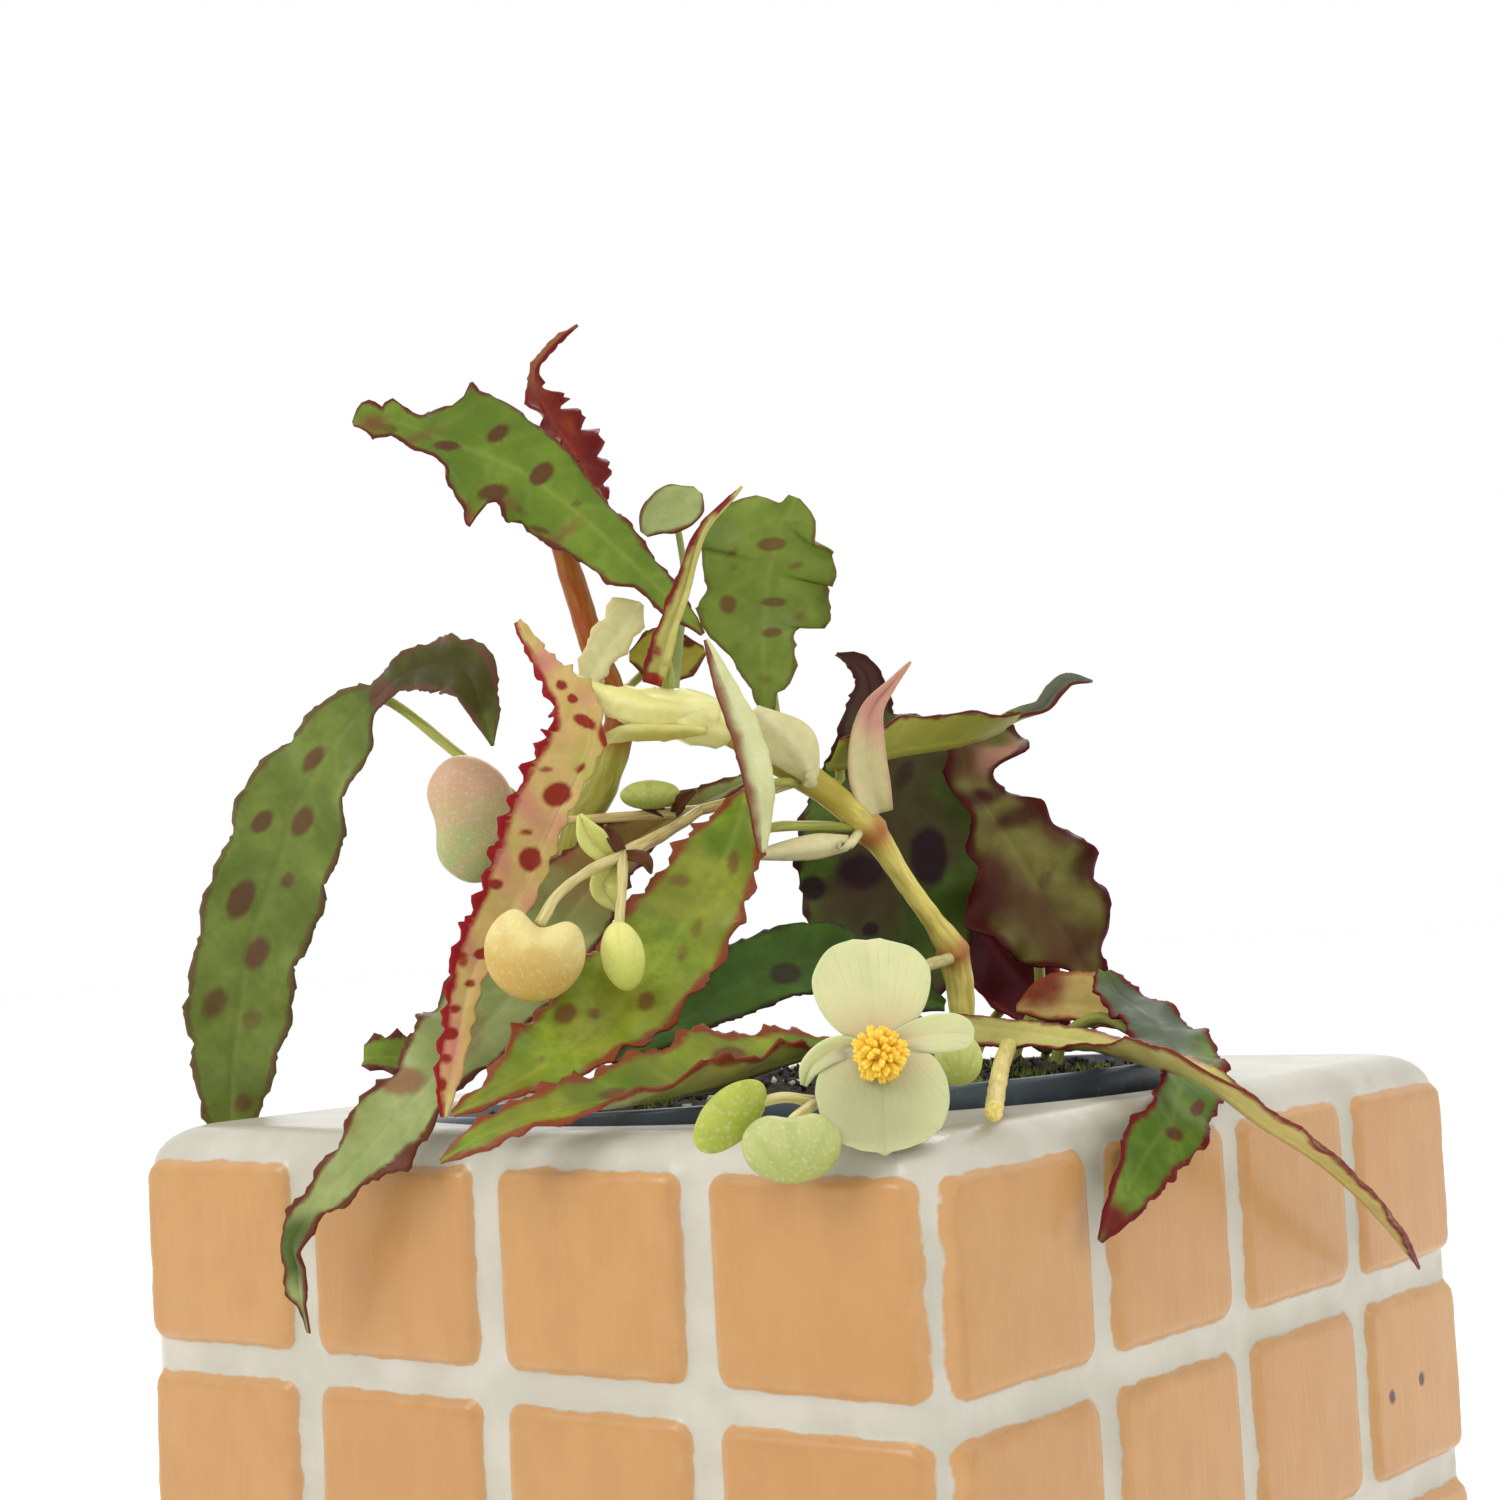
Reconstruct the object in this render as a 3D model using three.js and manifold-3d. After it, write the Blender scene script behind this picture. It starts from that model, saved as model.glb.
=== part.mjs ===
// A small begonia with spotted leaves in its round plastic pot, standing in a square tiled ceramic pot.
// Millimetres, +Z up. The origin is the middle of the ceramic pot's base, and its sides face X and Y.
import * as THREE from 'three';
import { mergeVertices } from 'three/addons/utils/BufferGeometryUtils.js';
import Module from 'manifold-3d';

const wasm = await Module();
wasm.setup();

// Ceramic pot
const POT_SIDE = 94;
const POT_HEIGHT = 84;
const TILES_PER_SIDE = 4;
const TILE_ROWS = 4;
const TILE_WIDTH = 20;
const TILE_HEIGHT = 16.8;
const TILE_RISE = 0.9;
const TILE_ROOT = 0.5;
const TILE_CORNER = 1.3;
const TILE_CHAMFER = 0.7;
const CORNER_MARGIN = 2.25;
const RIM_BAND = 3;
const ROW_JOINT = 3;
const POT_CORNER = 3;
const POT_EDGE = 3.6;
const POT_WALL = 5;
const POT_FLOOR = 6;
const WEB_THICKNESS = 6;
const OPENING_RADIUS = 38.6;
const OPENING_FLARE = 1.6;

// Nursery pot and soil
const GAP = 0.3;
const NURSERY_RADIUS = 37;
const NURSERY_FOOT = 27;
const NURSERY_WALL = 1;
const NURSERY_LEDGE = 3;
const NURSERY_TOP = 84.5;
const NURSERY_LEAN = 0.03;
const SOIL_EDGE = 82.6;
const SOIL_MOUND = 3;
const SOIL_BUMP = 0.45;
const SOIL_SIDES = 22;

// The plant is laid out as seen over the pot's near corner: x to the right, y away and z up
const PLANT_TURN = 38;

// Thickness of a leaf blade and of a petal
const BLADE = 0.7;
const PETAL = 0.65;

const degrees = THREE.MathUtils.degToRad;
const vector = ([x, y, z]) => new THREE.Vector3(x, y, z);

function solidOf(geometry) {
  const bare = geometry.clone();
  bare.deleteAttribute('normal');
  bare.deleteAttribute('uv');
  const merged = mergeVertices(bare, 1e-4);
  const mesh = new wasm.Mesh({
    numProp: 3,
    vertProperties: new Float32Array(merged.attributes.position.array),
    triVerts: new Uint32Array(merged.index.array),
  });
  return new wasm.Manifold(mesh);
}

function geometryOf(solid) {
  const { vertProperties, triVerts } = solid.getMesh();
  const geometry = new THREE.BufferGeometry();
  geometry.setAttribute('position', new THREE.BufferAttribute(vertProperties, 3));
  geometry.setIndex(new THREE.BufferAttribute(triVerts, 1));
  geometry.computeVertexNormals();
  return geometry;
}

function indexed(points, faces) {
  const geometry = new THREE.BufferGeometry();
  const positions = points.flatMap((p) => [p.x, p.y, p.z]);
  geometry.setAttribute('position', new THREE.Float32BufferAttribute(positions, 3));
  geometry.setIndex(faces);
  return geometry;
}

// Value at s, from 0 to 1, of a list of evenly spaced numbers
function mix(list, s) {
  const place = s * (list.length - 1);
  const index = Math.min(Math.floor(place), list.length - 2);
  if (index < 0) return list[0];
  return THREE.MathUtils.lerp(list[index], list[index + 1], place - index);
}

function mixVector(list, s) {
  return new THREE.Vector3(...[0, 1, 2].map((axis) => mix(list.map((item) => item[axis]), s)));
}

// Closed body through rings of equal length, each turning left about the way they follow
function loft(rings) {
  const count = rings[0].length;
  const last = (rings.length - 1) * count;
  const faces = [];
  for (let i = 0; i < rings.length - 1; i += 1) {
    for (let j = 0; j < count; j += 1) {
      const a = i * count + j;
      const b = i * count + ((j + 1) % count);
      faces.push(a, b, b + count, a, b + count, a + count);
    }
  }
  for (let j = 1; j < count - 1; j += 1) {
    faces.push(0, j + 1, j, last, last + j, last + j + 1);
  }
  return indexed(rings.flat(), faces);
}

// Round stem along points, with radii spread evenly over its length
function stem(points, radii, { sides = 7, step = 4, grow = 0 } = {}) {
  const curve = new THREE.CatmullRomCurve3(points.map(vector));
  const steps = Math.max(2, Math.ceil(curve.getLength() / step));
  const { normals, binormals } = curve.computeFrenetFrames(steps);
  const rings = normals.map((normal, i) => {
    const centre = curve.getPointAt(i / steps);
    const radius = mix(radii, i / steps) + grow;
    return Array.from({ length: sides }, (_, j) => {
      const angle = (2 * Math.PI * j) / sides;
      return centre.clone()
        .addScaledVector(normal, radius * Math.cos(angle))
        .addScaledVector(binormals[i], radius * Math.sin(angle));
    });
  });
  return solidOf(loft(rings));
}

// Frame of a blade at s along its rib: place, directions and half-widths.
// A rib point is [x, y, z, half-width left, half-width right], as seen on the upper face with the tip up.
function ribFrames(rib, face) {
  const curve = new THREE.CatmullRomCurve3(rib.map(vector));
  const widths = new THREE.CatmullRomCurve3(rib.map(([, , , left, right]) => vector([left, right, 0])));
  widths.curveType = 'catmullrom';
  return {
    length: curve.getLength(),
    at(s) {
      const t = curve.getUtoTmapping(s);
      const along = curve.getTangent(t);
      const up = mixVector(face, s);
      up.addScaledVector(along, -up.dot(along)).normalize();
      const right = along.clone().cross(up);
      const { x, y } = widths.getPoint(t);
      const left = Math.max(x, 0.15);
      const wide = Math.max(y, 0.15);
      return { centre: curve.getPoint(t), along, up, right, left, wide };
    },
  };
}

// Thin waved blade, toothed on both margins. Both faces share one split into triangles.
function blade(
  { rib, face, fold = [0], wave = [0, 9, 0], teeth = [0, 4.4], lobes = [], cells = 1, thick = BLADE },
) {
  const frames = ribFrames(rib, face);
  const [waveHeight, waveLength, wavePhase] = wave;
  const [toothDepth, toothLength] = teeth;
  const stations = 2 * Math.max(3, Math.round(frames.length / toothLength));
  const middle = [];
  for (let i = 0; i <= stations; i += 1) {
    const s = i / stations;
    const { centre, up, right, left, wide } = frames.at(s);
    const angle = degrees(mix(fold, s));
    const row = [];
    for (let j = -cells; j <= cells; j += 1) {
      const v = Math.abs(j) / cells;
      const side = Math.sign(j);
      const full = side < 0 ? left : wide;
      const tooth = v === 1 && i % 2 === 1 ? toothDepth * Math.min(1, full / 2) : 0;
      const bulge = lobes.filter((lobe) => lobe[1] === side).reduce((sum, [at, , depth, run]) => (
        sum + depth * v * v * Math.exp(-((((s - at) * frames.length) / run) ** 2))), 0);
      const reach = full * v + tooth + bulge;
      const ripple = Math.sin((2 * Math.PI * s * frames.length) / waveLength + wavePhase + 1.3 * side);
      const lift = reach * Math.sin(angle) + waveHeight * ripple * v * v * Math.min(1, full / 3);
      row.push(centre.clone()
        .addScaledVector(right, side * reach * Math.cos(angle))
        .addScaledVector(up, lift));
    }
    middle.push(row);
  }
  return solidOf(thicken(middle, thick));
}

// Closed plate of even thickness about a grid of points, rows along the rib
function thicken(middle, thick) {
  const rows = middle.length;
  const columns = middle[0].length;
  const clamp = THREE.MathUtils.clamp;
  const point = (i, j) => middle[clamp(i, 0, rows - 1)][clamp(j, 0, columns - 1)];
  const upper = [];
  const lower = [];
  for (let i = 0; i < rows; i += 1) {
    for (let j = 0; j < columns; j += 1) {
      const across = point(i, j + 1).clone().sub(point(i, j - 1));
      const along = point(i + 1, j).clone().sub(point(i - 1, j));
      const normal = across.cross(along).normalize().multiplyScalar(thick / 2);
      upper.push(middle[i][j].clone().add(normal));
      lower.push(middle[i][j].clone().sub(normal));
    }
  }
  const under = rows * columns;
  const faces = [];
  const quad = (a, b, c, d) => faces.push(a, b, c, a, c, d);
  for (let i = 0; i < rows - 1; i += 1) {
    for (let j = 0; j < columns - 1; j += 1) {
      const a = i * columns + j;
      const [b, c, d] = [a + 1, a + columns + 1, a + columns];
      quad(a, b, c, d);
      faces.push(under + a, under + c, under + b, under + a, under + d, under + c);
    }
    const left = i * columns;
    const right = left + columns - 1;
    quad(under + left, left, left + columns, under + left + columns);
    quad(under + right, under + right + columns, right + columns, right);
  }
  const end = (rows - 1) * columns;
  for (let j = 0; j < columns - 1; j += 1) {
    quad(under + j, under + j + 1, j + 1, j);
    quad(under + end + j, end + j, end + j + 1, under + end + j + 1);
  }
  return indexed([...upper, ...lower], faces);
}

// Leaf stalk from under the blade's rib, at s along it, through points to what carries it
function leafStalk({ rib, face }, { at, to, radius = [0.55, 0.6] }) {
  const { centre, up } = ribFrames(rib, face).at(at);
  const start = centre.clone().addScaledVector(up, 0.05).toArray();
  const below = centre.clone().addScaledVector(up, -1.5).toArray();
  return stem([start, below, ...to], radius, { sides: 5, step: 6 });
}

const meshes = [];

function addMesh(group, name, shape, colour, roughness = 0.5) {
  const material = new THREE.MeshStandardMaterial({ color: colour, roughness, metalness: 0 });
  const mesh = new THREE.Mesh(shape.isBufferGeometry ? shape : geometryOf(shape), material);
  mesh.name = name;
  group.add(mesh);
  meshes.push(mesh);
  return mesh;
}

// Square outline with rounded corners at a height, four points to a corner
function roundedSquare(half, corner, height, corners = 4) {
  const points = [];
  for (let quarter = 0; quarter < 4; quarter += 1) {
    for (let k = 0; k < corners; k += 1) {
      const angle = (Math.PI / 2) * (quarter + k / (corners - 1));
      const middle = (Math.PI / 2) * quarter + Math.PI / 4;
      const offset = (half - corner) * Math.SQRT2;
      points.push(new THREE.Vector3(
        offset * Math.cos(middle) + corner * Math.cos(angle),
        offset * Math.sin(middle) + corner * Math.sin(angle),
        height,
      ));
    }
  }
  return points;
}

// Shell of the ceramic pot without its tiles: rounded rim, square inside and round opening
function potShell() {
  const half = POT_SIDE / 2 - TILE_RISE;
  const rings = [roundedSquare(half - 1, POT_CORNER, 0), roundedSquare(half, POT_CORNER, 1)];
  for (const turn of [0, 30, 60, 90]) {
    const inset = POT_EDGE * (1 - Math.cos(degrees(turn)));
    const height = POT_HEIGHT - POT_EDGE * (1 - Math.sin(degrees(turn)));
    rings.push(roundedSquare(half - inset, POT_CORNER + inset / 2, height));
  }
  const inside = half - POT_WALL;
  const hollow = loft([
    roundedSquare(inside - 2, 2 * POT_CORNER, POT_FLOOR),
    roundedSquare(inside, 2 * POT_CORNER, POT_FLOOR + 2),
    roundedSquare(inside, 2 * POT_CORNER, POT_HEIGHT - WEB_THICKNESS - 2),
    roundedSquare(inside - 3, 2 * POT_CORNER, POT_HEIGHT - WEB_THICKNESS),
  ]);
  const profile = [
    [0, POT_HEIGHT - WEB_THICKNESS - 4],
    [OPENING_RADIUS, POT_HEIGHT - WEB_THICKNESS - 4],
    [OPENING_RADIUS, POT_HEIGHT - OPENING_FLARE],
    [OPENING_RADIUS + OPENING_FLARE / 3, POT_HEIGHT - OPENING_FLARE / 3],
    [OPENING_RADIUS + OPENING_FLARE, POT_HEIGHT],
    [OPENING_RADIUS + OPENING_FLARE, POT_HEIGHT + 5],
    [0, POT_HEIGHT + 5],
  ];
  return solidOf(loft(rings)).subtract(solidOf(hollow)).subtract(turned(profile, 48));
}

// Solid of revolution about Z from [radius, height] pairs
function turned(profile, sides) {
  const points = profile.map(([radius, height]) => new THREE.Vector2(radius, height));
  const lathe = new THREE.LatheGeometry(points, sides);
  lathe.rotateX(Math.PI / 2);
  return solidOf(lathe);
}

// One tile lying on the XY plane: a shouldered pad with cut corners
function tilePad() {
  const outline = (inset, height) => {
    const x = TILE_WIDTH / 2 - inset;
    const y = TILE_HEIGHT / 2 - inset;
    const cut = TILE_CORNER;
    const flat = [
      [x, y - cut], [x - cut, y], [cut - x, y], [-x, y - cut],
      [-x, cut - y], [cut - x, -y], [x - cut, -y], [x, cut - y],
    ];
    return flat.map(([px, py]) => new THREE.Vector3(px, py, height));
  };
  return loft([outline(0, -TILE_ROOT), outline(TILE_CHAMFER, TILE_RISE)]);
}

function ceramicPot() {
  const pads = [];
  const columnPitch = (POT_SIDE - 2 * CORNER_MARGIN - TILE_WIDTH) / (TILES_PER_SIDE - 1);
  const rowPitch = TILE_HEIGHT + ROW_JOINT;
  const place = new THREE.Object3D();
  place.rotation.order = 'ZXY';
  for (let side = 0; side < 4; side += 1) {
    for (let row = 0; row < TILE_ROWS; row += 1) {
      for (let column = 0; column < TILES_PER_SIDE; column += 1) {
        const across = (column - (TILES_PER_SIDE - 1) / 2) * columnPitch;
        const outward = POT_SIDE / 2 - TILE_RISE;
        place.position.set(across, -outward, POT_HEIGHT - RIM_BAND - TILE_HEIGHT / 2 - row * rowPitch);
        place.position.applyAxisAngle(THREE.Object3D.DEFAULT_UP.clone().set(0, 0, 1), (side * Math.PI) / 2);
        place.rotation.set(Math.PI / 2, 0, (side * Math.PI) / 2);
        place.updateMatrix();
        pads.push(solidOf(tilePad().applyMatrix4(place.matrix)));
      }
    }
  }
  return pads.reduce((pot, pad) => pot.add(pad), potShell());
}

// The nursery pot stands level on the ceramic floor and its rim leans a little
function lean(geometry) {
  const place = geometry.attributes.position;
  for (let i = 0; i < place.count; i += 1) {
    const share = NURSERY_LEAN * Math.max(0, place.getZ(i) - POT_FLOOR) / (NURSERY_TOP - POT_FLOOR);
    place.setZ(i, place.getZ(i) + share * (place.getX(i) - place.getY(i)));
  }
  return geometry;
}

function nurseryPot() {
  const foot = POT_FLOOR + GAP;
  const ledge = NURSERY_TOP - NURSERY_LEDGE;
  const profile = [
    [0, foot], [NURSERY_FOOT - 1, foot], [NURSERY_FOOT, foot + 1],
    [NURSERY_RADIUS - 1.6, ledge - 0.8], [NURSERY_RADIUS - 1.6, ledge], [NURSERY_RADIUS - 0.2, ledge],
    [NURSERY_RADIUS, ledge + 0.4], [NURSERY_RADIUS, NURSERY_TOP - 0.3], [NURSERY_RADIUS - 0.3, NURSERY_TOP],
    [NURSERY_RADIUS - 1.1, NURSERY_TOP], [NURSERY_RADIUS - 1.3, ledge],
    [NURSERY_RADIUS - 2.7, ledge - 1.6], [NURSERY_FOOT - NURSERY_WALL, foot + 2],
    [NURSERY_FOOT - 3, foot + NURSERY_WALL], [0, foot + NURSERY_WALL],
  ];
  return lean(geometryOf(turned(profile, 28)));
}

function soilHeight(x, y) {
  const radius = Math.hypot(x, y);
  const mound = SOIL_MOUND * (1 - (radius / NURSERY_RADIUS) ** 2);
  const bumps = Math.sin(x * 0.61 + 1) * Math.cos(y * 0.53) + 0.6 * Math.sin(x * 1.07 - y * 0.91);
  return SOIL_EDGE + mound + SOIL_BUMP * bumps;
}

// Root ball: follows the inside of the nursery pot and is mounded on top
function soilBall(holes) {
  const foot = POT_FLOOR + GAP + NURSERY_WALL + GAP;
  const edge = SOIL_EDGE;
  const wall = [
    [NURSERY_FOOT - 3.6, foot],
    [NURSERY_FOOT - NURSERY_WALL - 0.6, foot + 2],
    [NURSERY_RADIUS - 3.1, NURSERY_TOP - NURSERY_LEDGE - 1.2],
    [NURSERY_RADIUS - 1.9, edge - 0.4],
  ];
  const top = [0.82, 0.62, 0.4, 0.18].map((share) => share * NURSERY_RADIUS);
  const ring = (radius, height) => Array.from({ length: SOIL_SIDES }, (_, j) => {
    const angle = (2 * Math.PI * j) / SOIL_SIDES;
    const [x, y] = [radius * Math.cos(angle), radius * Math.sin(angle)];
    return new THREE.Vector3(x, y, height ?? soilHeight(x, y));
  });
  const body = loft([...wall.map(([radius, height]) => ring(radius, height)), ...top.map((r) => ring(r))]);
  return holes.reduce((soil, hole) => soil.subtract(hole), solidOf(lean(body)));
}

// Canes: the first point is the root, in the soil
const CANE_MAIN = {
  points: [
    [15, 1, 76], [15.4, 0.6, 84], [15.7, 0, 90.8], [15.1, -1, 96.6], [14.2, -2, 98.4],
    [10.6, -5, 103.8], [7.8, -7.6, 108.3], [6.3, -8.8, 110.2], [1.1, -12.4, 114.4],
    [-2.5, -14, 117], [-5.5, -15, 118.8],
  ],
  radii: [1.25, 1.25, 1.25, 1.25, 1.35, 1.6, 1.15, 1.12, 1.2, 1.6, 1.3, 1.5, 1.7, 1.5],
};
const CANE_SECOND = {
  points: [
    [-16, -5, 77], [-16, -6, 84.5], [-19.5, -7, 94], [-22, -8, 104], [-21, -9, 110.5], [-18, -10, 115.5],
    [-16.5, -10, 121], [-18.5, -8, 127.5], [-20, -6.6, 133], [-21.3, -5.6, 138], [-22, -5.2, 142],
  ],
  radii: [1.5, 1.6, 1.6, 1.7, 1.9, 1.7, 1.5, 1.35, 1.3, 1.2, 1.1],
};
const grownCane = ({ points, radii }) => stem(points, radii, { sides: 9, grow: GAP });
const SHOOT = {
  points: [[-6.5, -15.3, 119.2], [-9.5, -16, 120.4], [-14, -17, 121.3], [-17.8, -18, 122.8]],
  radii: [2.1, 2.6, 2.4, 2.2, 1.7, 0.5],
};

// Directions that a leaf's upper face can look
const NEAR = [0, -1, 0.1];
const NEAR_UP = [0, -0.85, 0.5];
const UP = [0, -0.25, 0.97];
const LEFT_FACE = [-0.616, -0.788, 0.05];
const RIGHT_FACE = [0.788, -0.616, 0.05];

const LEAF_GREEN = '#7c9a3c';
const LEAF_DARK = '#4c5c34';
const LEAF_PALE = '#b9b77c';
const LEAF_CREAM = '#cdb88a';
const STEM_OLIVE = '#b5a14a';
const BUD_YELLOW = '#cfc877';

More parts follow.
